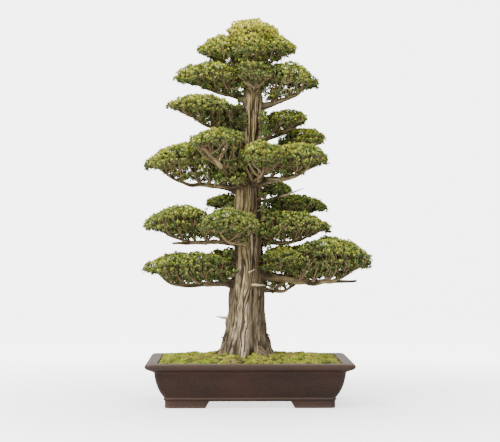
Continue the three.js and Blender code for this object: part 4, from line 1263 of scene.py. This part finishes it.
@made_once("materials")
def bark_grain(name):
    """Fibrous bark: pale weathered strips, brown body, olive algae, dark crevices with painted shade, and
    damp sides darkened further as painted shade.
    """
    material, wire, shader = new_material(name, 0.9, 0.25)
    streak = wire.effect(streaked_grain(), Grain=wire.attribute("grain", "Vector"))
    patch = wire.effect(mottling(), Patch_Scale=16.0, Speck_Scale=380.0, Stretch=(1.0, 1.0, 0.35))
    body = wire.blend(wire.spread(streak["Streaks"], 0.15, 0.80), "bark_mid", "bark_light")
    fibred = wire.blend(wire.math("MULTIPLY", streak["Fibres"], 0.45), body, "bark_dark")
    cover = wire.spread(patch["Specks"], 0, 1, 0.60, 0.95)
    algae = wire.math("MULTIPLY", wire.attribute("green"), cover)
    tinted = wire.blend(algae, fibred, "bark_olive")
    # Damp sides, and painted shade on the shaded sides, in the hollows and on boughs and stubs in the
    # foliage
    wet_and_shaded = wire.blend(wire.math("MULTIPLY", wire.attribute("damp_and_shade"), 0.85), tinted, "bark_damp")
    # Painted shade deep in the crevices and splits
    deep = wire.spread(wire.attribute("cavity"), 0.12, 0.78, 0.0, 0.94)
    rough = wire.spread(streak["Streaks"], 0, 1, 0.95, 0.8)
    wire.finish(shader, wire.blend(deep, wet_and_shaded, "bark_dark"), rough, streak["Height"], 0.55, 0.0012)
    return material


@made_once("materials")
def deadwood_grain(name):
    """Bare bleached wood with grey cracks along the grain, painted darker in the cracks as shade, and
    painted dark as shade where it stands inside the foliage.
    """
    material, wire, shader = new_material(name, 0.8, 0.3)
    grain = wire.attribute("grain", "Vector")
    streak = wire.effect(streaked_grain(), Grain=grain, Streak_Scale=240.0, Fibre_Scale=900.0)
    body = wire.blend(wire.math("MULTIPLY", streak["Streaks"], 0.5), "wood_pale", "wood_grey")
    # Painted shade in the cracks
    deep = wire.spread(wire.attribute("cavity"), 0.2, 1.0, 0.0, 0.8)
    cracked = wire.blend(deep, body, "wood_grey")
    # Painted shade on the share of the stub inside the foliage
    base = wire.blend(wire.attribute("dark"), cracked, "bark_damp")
    rough = wire.spread(streak["Fibres"], 0, 1, 0.75, 0.9)
    wire.finish(shader, base, rough, streak["Height"], 0.4, 0.0006)
    return material


@made_once("materials")
def clay_wall(name):
    """Unglazed brown stoneware: cloudy blush, wheel-fine specks, pale where worn, with painted highlights
    on the bead and lip and painted light on upward faces.
    """
    material, wire, shader = new_material(name, 0.5, 0.22)
    patch = wire.effect(mottling(), Patch_Scale=9.0, Speck_Scale=260.0, Stretch=(0.7, 0.7, 1.5))
    facing = wire.put("ShaderNodeNewGeometry")["Normal"]
    rise = wire.put("ShaderNodeSeparateXYZ", {0: facing})["Z"]
    # Painted light: faces that look up are paler, as the light falls on them
    top = wire.math("MULTIPLY", wire.spread(rise, 0.5, 0.98), 0.8)
    body = wire.blend(patch["Patches"], "clay_body", "clay_dark")
    specked = wire.blend(wire.math("MULTIPLY", patch["Specks"], 0.10), body, "clay_worn")
    # Worn edges and feet, the painted highlights on the bead and lip, and the painted light on top
    edge = wire.math("MAXIMUM", wire.math("MULTIPLY", wire.attribute("wear_and_highlight"), 0.55), top)
    rough = wire.spread(patch["Specks"], 0, 1, 0.34, 0.50)
    wire.finish(shader, wire.blend(edge, specked, "clay_worn"), rough, patch["Height"], 0.14, 0.0005)
    return material


@made_once("materials")
def moss_bed(name):
    """The moss bed: living cushions, dry patches and dark soil in the hollows."""
    material, wire, shader = new_material(name, 0.95, 0.2)
    patch = wire.effect(mottling(), Patch_Scale=26.0, Speck_Scale=300.0)
    light = wire.spread(wire.math("ADD", patch["Specks"], patch["Patches"]), 0.55, 1.45)
    living = wire.blend(light, "moss_green", "moss_bright")
    age = wire.math("ADD", wire.attribute("age"), wire.math("MULTIPLY", patch["Patches"], 0.3))
    mixed = wire.blend(wire.spread(age, 0.6, 0.95), living, "moss_tan")
    soil = wire.spread(wire.attribute("hollow"), 0.25, 0.85, 0.0, 0.92)
    rough = wire.spread(patch["Specks"], 0, 1, 0.9, 1.0)
    wire.finish(shader, wire.blend(soil, mixed, "moss_soil"), rough, patch["Height"], 0.9, 0.0015)
    return material


@made_once("materials")
def studio_floor(name):
    """The pale studio floor and backdrop, which look near white and hardly light the plant, with a
    painted soft shadow where they glow less near the pot.
    """
    material, wire, shader = new_material(name, 0.9, 0.1)
    patch = wire.effect(mottling(), Patch_Scale=0.8, Speck_Scale=60.0)
    pale = colour("floor_pale")
    shade = tuple(0.985 * c for c in pale[:3]) + (1.0,)
    wire.feed(shader["Base Color"], wire.blend(patch["Patches"], pale, shade))
    shader["Emission Color"].default_value = (1.0, 1.0, 1.0, 1.0)
    place = wire.put("ShaderNodeTexCoord")["Object"]
    away = wire.put("ShaderNodeVectorMath", {0: place}, operation="LENGTH")["Value"]
    # Painted shadow: the glow is weaker near the pot
    glow = wire.spread(away, 0.25, 1.5, FLOOR_GLOW * 0.4, FLOOR_GLOW)
    seen = wire.put("ShaderNodeLightPath")["Is Camera Ray"]
    wire.feed(shader["Emission Strength"], wire.math("MULTIPLY", seen, glow))
    return material


# Pieces


def pot_ring(inset, z):
    """A rounded rectangle of the pot at an inset from the lip's edge, counter-clockwise."""
    half = np.array([POT_LENGTH, POT_DEPTH]) / 2 - inset - CORNER_RADIUS
    arcs = []
    for quarter, corner in enumerate(CORNERS):
        turn = math.pi / 2 * (quarter + np.linspace(0, 1, CORNER_STEPS + 1))
        arcs.append(half * corner + CORNER_RADIUS * np.column_stack([np.cos(turn), np.sin(turn)]))
    ring = []
    for quarter, arc in enumerate(arcs):
        start, end = arc[-1], arcs[(quarter + 1) % 4][0]
        steps = SIDE_STEPS[quarter % 2]
        ring += [arc, start + (end - start) * np.arange(1, steps)[:, None] / steps]
    flat = np.concatenate(ring) + MIDDLE
    return np.column_stack([flat, np.full(len(flat), z)])


def rounded(profile):
    """A line with its corners cut twice."""
    line = np.array(profile)
    for _ in range(2):
        near = line[:-1] * 0.75 + line[1:] * 0.25
        far = line[:-1] * 0.25 + line[1:] * 0.75
        line = np.concatenate([line[:1], np.stack([near, far], 1).reshape(-1, 2), line[-1:]])
    return line


def pot_body():
    """The pot's wall, lip and floor as rings, with how worn each vertex is and how much painted highlight
    it has.
    """
    under = [(FOOT_INSET + FOOT_WALL, FOOT_HEIGHT)]
    profile = np.concatenate([under, rounded(POT_FACE), rounded(POT_INSIDE)])
    rings = [pot_ring(inset, z) for inset, z in profile]
    sides = len(rings[0])
    vertices = np.concatenate(rings)
    wavy = lattice_noise(vertices / 0.05, 12) - 0.5
    vertices[:, :2] += (vertices[:, :2] - MIDDLE) * (wavy * POT_WAVES)[:, None]
    slope = np.gradient(profile, axis=0)
    turn = np.unwrap(np.arctan2(slope[:, 1], -slope[:, 0]))
    bend = np.clip(-np.gradient(turn) * 1.4, 0, 1)
    quads, caps = ring_faces(1, len(profile), sides)
    wear_and_highlight = np.repeat(bend, sides) * (0.55 + 0.45 * lattice_noise(vertices / 0.012, 5))
    # Painted highlight along the bead
    wear_and_highlight = np.maximum(wear_and_highlight, 0.7 * np.exp(-((vertices[:, 2] - BEAD_HEIGHT) / 0.0022) ** 2))
    # Painted highlight on the lip's face and top
    wear_and_highlight = np.maximum(wear_and_highlight, 0.28 * (vertices[:, 2] > LIP_HEIGHT))
    return vertices, quads, caps, wear_and_highlight


def pot_foot(sx, sy):
    """One corner foot: a wall bent round the corner, with sloping ends."""
    loops = []
    for z, chamfer in FOOT_RINGS:
        lean = FOOT_SLOPE * (1 - 2 * z / FOOT_HEIGHT)
        x1 = POT_LENGTH / 2 - FOOT_INSET - chamfer
        y1 = POT_DEPTH / 2 - FOOT_INSET - chamfer
        x0, y0 = x1 - FOOT_WALL + 2 * chamfer, y1 - FOOT_WALL + 2 * chamfer
        gap_x = FOOT_GAP_LONG / 2 + lean + chamfer
        gap_y = FOOT_GAP_SHORT / 2 + lean + chamfer
        arc = [(x1 - CORNER_RADIUS + CORNER_RADIUS * math.sin(t),
                y1 - CORNER_RADIUS + CORNER_RADIUS * math.cos(t))
               for t in np.linspace(0, math.pi / 2, 9)]
        outline = [(gap_x, y1), *arc, (x1, gap_y), (x0, gap_y), (x0, y0), (gap_x, y0)]
        loops.append([(MIDDLE_X + sx * x, MIDDLE_Y + sy * y, z) for x, y in outline])
    vertices = np.array(loops).reshape(-1, 3)
    sides = len(loops[0])
    quads, caps = ring_faces(1, len(loops), sides)
    if sx * sy > 0:
        quads, caps = quads[:, ::-1], caps[:, ::-1]
    return vertices, quads, caps


class CONIFER_OT_pot(bpy.types.Operator):
    """Make the unglazed pot with its lip, bellied walls and four feet"""

    bl_idname = "conifer.pot"
    bl_label = "Pot"

    def execute(self, context):
        vertices, quads, caps, wear_and_highlight = pot_body()
        parts, edges = closed(vertices, quads, caps), [wear_and_highlight]
        for sx, sy in CORNERS:
            places, faces, ends = pot_foot(sx, sy)
            parts += closed(places, faces, ends)
            edges.append(np.where(places[:, 2] < WORN_FOOT, 0.8, 0.25))
        pot = build_mesh("pot_clay", parts, [clay_wall()], {"wear_and_highlight": np.concatenate(edges)}, smooth=True)
        pot.data.set_sharp_from_angle(angle=math.radians(CREASE_DEGREES))
        dress(pot, ["pot"])
        return {"FINISHED"}


def bed_grid(columns, rows):
    """Points of the soil's surface in plan, a grid whose corners follow the pot's."""
    half_x, half_y = BED_HALF_X - BED_GAP, BED_HALF_Y - BED_GAP
    x, y = np.meshgrid(np.linspace(-half_x, half_x, columns), np.linspace(-half_y, half_y, rows))
    r = CORNER_RADIUS
    a = np.clip(np.abs(x) - (half_x - r), 0, None)
    b = np.clip(np.abs(y) - (half_y - r), 0, None)
    round_a = a * np.sqrt(1 - (b / r) ** 2 / 2)
    round_b = b * np.sqrt(1 - (a / r) ** 2 / 2)
    x = x - np.sign(x) * (a - round_a)
    y = y - np.sign(y) * (b - round_b)
    return x.ravel(), y.ravel(), to_edge(x, y, half_x, half_y).ravel()


def cushion_of(k):
    """The k-th broad cushion of moss: its place from the pot's middle, its reach and its height."""
    x = ((0.5 + k * 0.7548777) % 1 - 0.5) * 2 * BED_HALF_X
    y = ((0.5 + k * 0.5698403) % 1 - 0.5) * 2 * BED_HALF_Y
    reach = CUSHION_REACH * (0.85 + 0.3 * (k * 0.618 % 1))
    return x, y, reach, CUSHION_HEIGHT * (0.6 + 0.4 * (k * 0.382 % 1))


def to_edge(x, y, half_x=BED_HALF_X, half_y=BED_HALF_Y):
    """How far out a point in plan is, from 0 at the pot's middle to 1 at the bed's edge."""
    return np.maximum(np.abs(x) / half_x, np.abs(y) / half_y)


def bed_level(x, y):
    """Height of the bed from the pot's inner edge up to the mound, with its broad cushions."""
    rim = np.clip(1 - to_edge(x, y), 0, 1)
    beyond = np.clip(np.hypot((x - FOOT_X) / MOUND_LENGTH, y / MOUND_DEPTH) - 1, 0, None)
    share = rim / (rim + MOUND_BLEND * beyond + 1e-9)
    broad = np.zeros(len(x))
    for k in range(1, CUSHIONS + 1):
        cx, cy, reach, high = cushion_of(k)
        broad = np.maximum(broad, high * (1 - ((x - cx) ** 2 + (y - cy) ** 2) / reach**2))
    return SOIL_EDGE + (GROUND - SOIL_EDGE) * share + broad * np.sqrt(np.sin(math.pi * share).clip(0))


def moss_height(x, y, edge):
    """Height of the moss at points in plan, with how dry and how hollow each is."""
    rng = np.random.default_rng(SEEDS["cushions"])
    cx = rng.uniform(-POT_LENGTH / 2, POT_LENGTH / 2, SMALL_CUSHIONS)
    cy = rng.uniform(-POT_DEPTH / 2, POT_DEPTH / 2, SMALL_CUSHIONS)
    wide = rng.uniform(*SMALL_WIDTH, SMALL_CUSHIONS)
    stand = rng.uniform(SMALL_STAND, 1.0, SMALL_CUSHIONS) * wide / LUMP_SIZE
    cushion = np.zeros(len(x))
    for k in range(SMALL_CUSHIONS):
        away = ((x - cx[k]) ** 2 + (y - cy[k]) ** 2) / wide[k] ** 2
        cushion = np.maximum(cushion, np.sqrt(np.clip(1 - away, 0, 1)) * stand[k])
    flat = np.stack([x, y, np.zeros_like(x)], axis=1)
    lumps = lattice_noise(flat / LUMP_SIZE, 21)
    nubs = lattice_noise(flat / NUB_SIZE, 22)
    fine = sizes().moss_cushion * (0.9 * cushion + 0.4 * (lumps - 0.5) - 0.35)
    z = bed_level(x, y) + fine + NUB_HEIGHT * (nubs - 0.5)
    hem = np.clip((edge - HEM_START) / 0.03, 0, 1)
    z = z - hem**2 * HEM_DEPTH
    from_trunk = np.hypot(x - FOOT_X, y)
    climb = np.clip(0.15 + 1.2 * lattice_noise(flat / 0.012, 25), 0, 1)
    near, wide = CLIMB_BAND
    z += MOSS_CLIMB * np.exp(-((from_trunk - near) / wide) ** 2) * climb
    age = lattice_noise(flat / 0.024, 23) * 0.6 + lattice_noise(flat / LUMP_SIZE, 24) * 0.4 + 0.25 * x
    return z, age, np.clip(1.05 - 1.7 * cushion - 0.7 * (lumps - 0.4), 0, 1)


class CONIFER_OT_moss(bpy.types.Operator):
    """Make the bed of moss cushions over the soil, with single blades standing on it"""

    bl_idname = "conifer.moss"
    bl_label = "Moss and Soil"

    def execute(self, context):
        columns, rows = BED_POINTS
        x, y, edge = bed_grid(columns, rows)
        z, age, hollow = moss_height(x, y, edge)
        top = np.column_stack([x + MIDDLE_X, y + MIDDLE_Y, z])
        grid = np.arange(columns * rows).reshape(rows, columns)
        quads = np.stack([grid[:-1, :-1], grid[:-1, 1:], grid[1:, 1:], grid[1:, :-1]], -1).reshape(-1, 4)
        rim = np.concatenate([grid[0, :-1], grid[:-1, -1], grid[-1, :0:-1], grid[:0:-1, 0]])
        skirt = top[rim] * [1, 1, 0] + [0, 0, SOIL_EDGE - MOSS_SKIRT]
        skirt[:, :2] = (skirt[:, :2] - MIDDLE) * SKIRT_SHARE + MIDDLE
        below = len(top) + np.arange(len(rim))
        walls = np.stack([rim, below, np.roll(below, -1), np.roll(rim, -1)], axis=1)
        points = np.concatenate([top, skirt])
        parts = closed(points, quads, walls) + [(NO_POINTS, below[::-1][None] - len(points), 0)]
        pad = np.ones(len(skirt))
        attributes = {"age": np.concatenate([age, pad]), "hollow": np.concatenate([hollow, pad])}
        bed = build_mesh("moss_bed", parts, [moss_bed()], attributes, smooth=True)
        dress(bed, ["soil"])
        dress(self.blades(), ["soil"])
        return {"FINISHED"}

    def blades(self):
        """Single moss blades, most of them on the living cushions."""
        rng = np.random.default_rng(SEEDS["blades"])
        count = sizes().moss_blades
        x = rng.uniform(-1, 1, count) * (BED_HALF_X - BLADES_FROM_EDGE)
        y = rng.uniform(-1, 1, count) * (BED_HALF_Y - BLADES_FROM_EDGE)
        z, age, hollow = moss_height(x, y, to_edge(x, y))
        keep = (hollow < 0.55) & (np.hypot(x - FOOT_X, y) > BLADES_FROM_TRUNK)
        x, y, z, age, hollow = x[keep], y[keep], z[keep], age[keep], hollow[keep]
        lean = rng.normal(0, 0.35, (len(x), 2))
        turn = rng.uniform(0, 2 * math.pi, len(x))
        tall = rng.uniform(*BLADE_HEIGHT, len(x))
        foot = np.column_stack([x + MIDDLE_X, y + MIDDLE_Y, z - BLADE_SUNK])
        half = np.column_stack([np.cos(turn), np.sin(turn), np.zeros(len(x))]) * BLADE_HALF_WIDTH
        tip = foot + np.column_stack([lean, np.ones(len(x))]) * tall[:, None]
        points = np.stack([foot - half, foot + half, tip], axis=1)
        slot = np.where(hollow + rng.uniform(0, 0.3, len(x)) < 0.32, 1, 0)
        slot = np.where(age + rng.normal(0, 0.06, len(x)) > 0.60, 2, slot)
        faces = np.arange(len(x) * 3).reshape(-1, 3)
        colours = [plain_material(name, 0.9, 0.05) for name in ("moss_green", "moss_bright", "moss_tan")]
        return build_mesh("moss_blades", [(points, faces, slot)], colours)


def swelling(turn, above, radius):
    """How far buttresses, hollows and flutes stand out of the trunk's round girth."""
    swell = np.zeros(np.broadcast(turn, above).shape)
    for heading, size, fade, spread_degrees in BUTTRESSES:
        swell += size * buttress(turn, above, heading, fade, spread_degrees)
    for count, depth, foot, phase, twist in FLUTES:
        size = (depth + foot * np.exp(-above / FLUTE_FADE)) * np.minimum(radius / 0.04, 1)
        swell += size * np.cos(count * turn + phase + twist * above)
    return swell


def trunk_limb():
    """The trunk with its flare, fluting and bark."""
    rows, sides = TRUNK_RINGS, TRUNK_SIDES
    z = np.linspace(GROUND - TRUNK_SUNK, TRUNK_TOP, rows)
    above = np.maximum(z - GROUND, 0)[:, None]
    path = np.column_stack([MIDDLE_X + softened(TRUNK_SWAY, above[:, 0]), np.full(rows, MIDDLE_Y), z])
    turn = circle_of(sides)
    radius = softened(TRUNK_GIRTH, above)
    radius = radius + swelling(turn[None], above, radius)
    round_it = np.broadcast_arrays(np.cos(turn) * 1.6, np.sin(turn) * 1.6, above / 0.030)
    bumps = lattice_noise(np.stack(round_it, axis=-1).reshape(-1, 3), 27).reshape(rows, sides)
    radius += TRUNK_BUMPS * (bumps - 0.5)
    for heading, height, size, across, up in KNOTS:
        off = off_heading(turn, heading) * KNOT_RADIUS
        radius += size * np.exp(-((off / across) ** 2) - ((above - height) / up) ** 2)
    return bark_tube(path, radius, (sides, TRUNK_STRIPS, sizes().bark_depth), SEEDS["trunk"])


def root_limb(root, seed):
    """A surface root that runs on from a buttress into the moss."""
    heading, reach, girth = root
    line = [out_from(GROUND, heading, out, GROUND + up) for out, up in (*ROOT_LINE, (reach, ROOT_END))]
    path = wander(bezier(*line, 30)[0], "root", seed)
    return bark_tube(path, girth * np.linspace(1, 0.36, 30), BARKS["root"], seed)


def stub_limb(stub, seed):
    """A bare dead stub on the trunk, with the swollen collar that it broke off from."""
    heading, height, length, rise, girth, tip_heading, bend, dark = stub
    reach = trunk_radius(height) + length
    start = out_from(height, heading, 0, height)
    aside = out_from(height, heading, reach * bend, height + rise * 0.2)
    end = out_from(height, tip_heading, reach, height + rise)
    path = wander(bezier(start, aside, end, 28)[0], "stub", seed)
    out = np.linalg.norm(path - path[0], axis=1) - trunk_radius(height)
    beyond = np.clip(out, 0, None) / length
    radii = girth + (STUB_TIP - girth) * np.clip((beyond - 0.35) / 0.65, 0, 1) ** 0.9
    return bark_tube(path, radii, BARKS["stub"], seed, dark)


def limbs_in(make, rows, kind, slot=0):
    """The limbs of a table, each with its own seed, for one slot of a mesh."""
    return [(make(row, SEEDS[kind] + k), slot) for k, row in enumerate(rows)]


class CONIFER_OT_trunk(bpy.types.Operator):
    """Make the trunk with its root flare, surface roots and strips of bark"""

    bl_idname = "conifer.trunk"
    bl_label = "Trunk and Roots"

    def execute(self, context):
        limbs = [(trunk_limb(), 0)]
        limbs += limbs_in(root_limb, SURFACE_ROOTS, "roots")
        limbs += limbs_in(stub_limb, TRUNK_STUBS, "trunk_stubs", 1)
        limbs += limbs_in(stub_limb, DEAD_TWIGS, "dead_twigs")
        trunk = bark_object("trunk_bark", limbs, [bark_grain(), deadwood_grain()])
        dress(trunk, ["trunk"])
        return {"FINISHED"}


class CONIFER_OT_boughs(bpy.types.Operator):
    """Make the main boughs with their bark"""

    bl_idname = "conifer.boughs"
    bl_label = "Boughs"

    def execute(self, context):
        limbs, nodes = [], []
        for index, row in enumerate(LIMBS):
            if "elbow" not in row:
                continue
            seed = SEEDS["boughs"] + index
            path = bough_path(row, seed)
            share = np.linspace(0, 1, len(path))
            radii = row["girth"] * (1.2 - 0.5 * share)
            out = np.linalg.norm((path - path[0])[:, :2], axis=1) - trunk_radius(row["height"])
            radii *= 1 + COLLAR_SWELL * np.exp(-np.clip(out, 0, None) / COLLAR_FADE)
            knots = lattice_noise(np.column_stack([share * 9, share * 0, share * 0 + index]), 15)
            radii *= 0.86 + 0.28 * knots
            # Boughs are painted dark as shade near the trunk, inside the foliage
            dark = BOUGH_PAINTED_SHADE.get(row["name"], 0.25)
            limbs.append((bark_tube(path, radii, BARKS["bough"], seed, dark), 0))
            nodes.append("bough_" + row["name"])
        boughs = bark_object("boughs_bark", limbs, [bark_grain()])
        dress(boughs, nodes)
        return {"FINISHED"}


class CONIFER_OT_deadwood(bpy.types.Operator):
    """Make the bare dead limbs"""

    bl_idname = "conifer.deadwood"
    bl_label = "Dead Limbs"

    def execute(self, context):
        limbs = limbs_in(stub_limb, DEAD_STUBS.values(), "dead_stubs")
        wood = bark_object("dead_limbs", limbs, [deadwood_grain()])
        dress(wood, list(DEAD_STUBS))
        return {"FINISHED"}


class CONIFER_OT_foliage(bpy.types.Operator):
    """Grow the stems, twigs and sprays of one tier's clouds"""

    bl_idname = "conifer.foliage"
    bl_label = "Foliage of a Tier"

    tier: bpy.props.EnumProperty(
        name="Tier", description="Which tier of clouds to grow",
        items=[(t, t.capitalize() + " tier", "The clouds of this tier") for t in TIERS])

    def execute(self, context):
        leaves, twigs, stems, nodes = [], [], [], []
        for index, cloud in enumerate(CLOUDS):
            if cloud.tier != self.tier:
                continue
            rng = np.random.default_rng(SEEDS["clouds"] + index * CLOUD_SEED_STEP)
            branches = fans_of(cloud, rng)
            paths = branches
            groups = [cloud_tufts(cloud, rng), under_tufts(cloud, rng)]
            if "elbow" in cloud.row:
                groups.append(bough_tufts(cloud, rng))
                paths = np.concatenate([paths, bough_line(cloud.row, branches.shape[1])[None]])
            bases, axes, radii, tones = (np.concatenate(a) for a in zip(*groups))
            keep = keep_to_space(cloud, bases)
            bases, axes, radii, tones = (a[keep] for a in (bases, axes, radii, tones))
            # Painted light: the far side is lifted out of the shade, and each tier and limb gets its own
            # lightness
            far = max(0, math.sin(math.radians(cloud.row["heading"])))
            lightness = TIER_TONE[self.tier] + FAR_TONE * far + cloud.row.get("tone", 0)
            leaves += sprays_of(lightness, bases, axes, radii, tones, rng)
            twigs += branch_parts(branches, rng)
            twigs += twigs_to(bases, paths, rng)
            stems += [(limb, 0) for limb in stem_of(cloud, SEEDS["boughs"] + index)]
            nodes.append("foliage_" + cloud.name)
        rng = np.random.default_rng(SEEDS["sprigs"] + TIERS.index(self.tier))
        bases, axes, radii, tones, starts = trunk_sprigs(self.tier, rng)
        leaves += sprays_of(TIER_TONE[self.tier], bases, axes, radii, tones, rng)
        shoots = crooked(bezier(starts, (starts + bases) / 2, bases, 3), 0.0015, rng)
        shades = rng.choice([0, 1, 2], len(bases))
        twigs += twig_parts(shoots, np.full(len(bases), SHOOT_GIRTH), shades, 3)
        names = LEAF_SLOTS + ["leaf_russet"]
        spray = build_mesh("leaves_" + self.tier, leaves, [plain_material(n) for n in names])
        dress(spray, nodes)
        names = ["twig_pale", "twig_tan", "twig_dark"]
        twig = build_mesh("twigs_" + self.tier, twigs, [plain_material(n, 0.8) for n in names])
        dress(twig, nodes)
        stem = bark_object("stems_" + self.tier, stems, [bark_grain()])
        dress(stem, nodes)
        return {"FINISHED"}


class CONIFER_OT_stage(bpy.types.Operator):
    """Make the pale floor and backdrop, the soft lights and the camera"""

    bl_idname = "conifer.stage"
    bl_label = "Stage, Lights and Camera"

    def execute(self, context):
        self.backdrop()
        self.world()
        for lamp in LAMPS:
            self.lamp(*lamp)
        self.camera()
        return {"FINISHED"}

    def backdrop(self):
        """A floor that sweeps up into a wall."""
        bend = np.linspace(0, math.pi / 2, 13)
        radius, back, front, tall, wide = 1.5, 4.0, -6.0, 6.0, 9.0
        y = np.concatenate([[front, 0], back + radius * np.sin(bend), [back + radius]])
        z = np.concatenate([[0, 0], radius * (1 - np.cos(bend)), [tall]])
        left = np.column_stack([np.full(len(y), -wide), y, z])
        right = left * [-1, 1, 1]
        row = np.arange(len(y) - 1)
        faces = np.stack([row, row + len(y), row + len(y) + 1, row + 1], axis=1)
        parts = [(np.concatenate([left, right]), faces, 0)]
        build_mesh("studio_floor", parts, [studio_floor()], smooth=True)

    def world(self):
        """Even white light from all round."""
        world = bpy.data.worlds.new("studio_light")
        world.use_nodes = True
        light = world.node_tree.nodes["Background"].inputs
        light["Color"].default_value = (1.0, 1.0, 1.0, 1.0)
        light["Strength"].default_value = WORLD_LIGHT
        bpy.context.scene.world = world

    def lamp(self, name, place, size, power, tint):
        """A soft square light that looks at the middle of the tree."""
        light = bpy.data.lights.new(name, "AREA")
        light.size, light.energy, light.color = size, power, tint
        lamp = bpy.data.objects.new(name, light)
        lamp.location = place
        aim = LAMP_AIM - Vector(place)
        lamp.rotation_euler = aim.to_track_quat("-Z", "Y").to_euler()
        bpy.context.scene.collection.objects.link(lamp)

    def camera(self):
        """The camera where the picture was taken from."""
        data = bpy.data.cameras.new("camera")
        data.lens, data.sensor_width = CAMERA_LENS_MM, 36.0
        data.clip_start, data.clip_end = 0.05, 60.0
        camera = bpy.data.objects.new("camera", data)
        x, y, z = CAMERA_PLACE
        camera.location = (x + MIDDLE_X, y + MIDDLE_Y, z)
        camera.rotation_euler = (math.pi / 2 + CAMERA_RISE, 0, -CAMERA_TURN)
        bpy.context.scene.collection.objects.link(camera)
        bpy.context.scene.camera = camera


class CONIFER_PT_panel(bpy.types.Panel):
    """The steps that build the potted conifer, in order"""

    bl_idname = "CONIFER_PT_panel"
    bl_label = "Potted Conifer"
    bl_space_type = "VIEW_3D"
    bl_region_type = "UI"
    bl_category = "Conifer"

    def draw(self, context):
        column = self.layout.column(align=True)
        for operator in (CONIFER_OT_stage, CONIFER_OT_pot, CONIFER_OT_moss, CONIFER_OT_trunk,
                         CONIFER_OT_boughs, CONIFER_OT_deadwood):
            column.operator(operator.bl_idname)
        for tier in TIERS:
            column.operator("conifer.foliage", text=tier.capitalize() + " tier").tier = tier
        for group in (context.scene.conifer_sizes, context.scene.conifer_colours):
            box = self.layout.box().column()
            for name in group.bl_rna.properties.keys():
                if name not in ("rna_type", "name"):
                    box.prop(group, name)


CLASSES = (ConiferSizes, ConiferColours, CONIFER_OT_stage, CONIFER_OT_pot, CONIFER_OT_moss,
           CONIFER_OT_trunk, CONIFER_OT_boughs, CONIFER_OT_deadwood, CONIFER_OT_foliage,
           CONIFER_PT_panel)


def register():
    for item in CLASSES:
        bpy.utils.register_class(item)
    bpy.types.Scene.conifer_sizes = bpy.props.PointerProperty(type=ConiferSizes)
    bpy.types.Scene.conifer_colours = bpy.props.PointerProperty(type=ConiferColours)


def unregister():
    del bpy.types.Scene.conifer_sizes
    del bpy.types.Scene.conifer_colours
    for item in reversed(CLASSES):
        bpy.utils.unregister_class(item)


def main():
    """Builds every piece in order."""
    register()
    bpy.ops.conifer.stage()
    bpy.ops.conifer.pot()
    bpy.ops.conifer.moss()
    bpy.ops.conifer.trunk()
    bpy.ops.conifer.boughs()
    bpy.ops.conifer.deadwood()
    for tier in TIERS:
        bpy.ops.conifer.foliage(tier=tier)


if __name__ == "__main__":
    main()
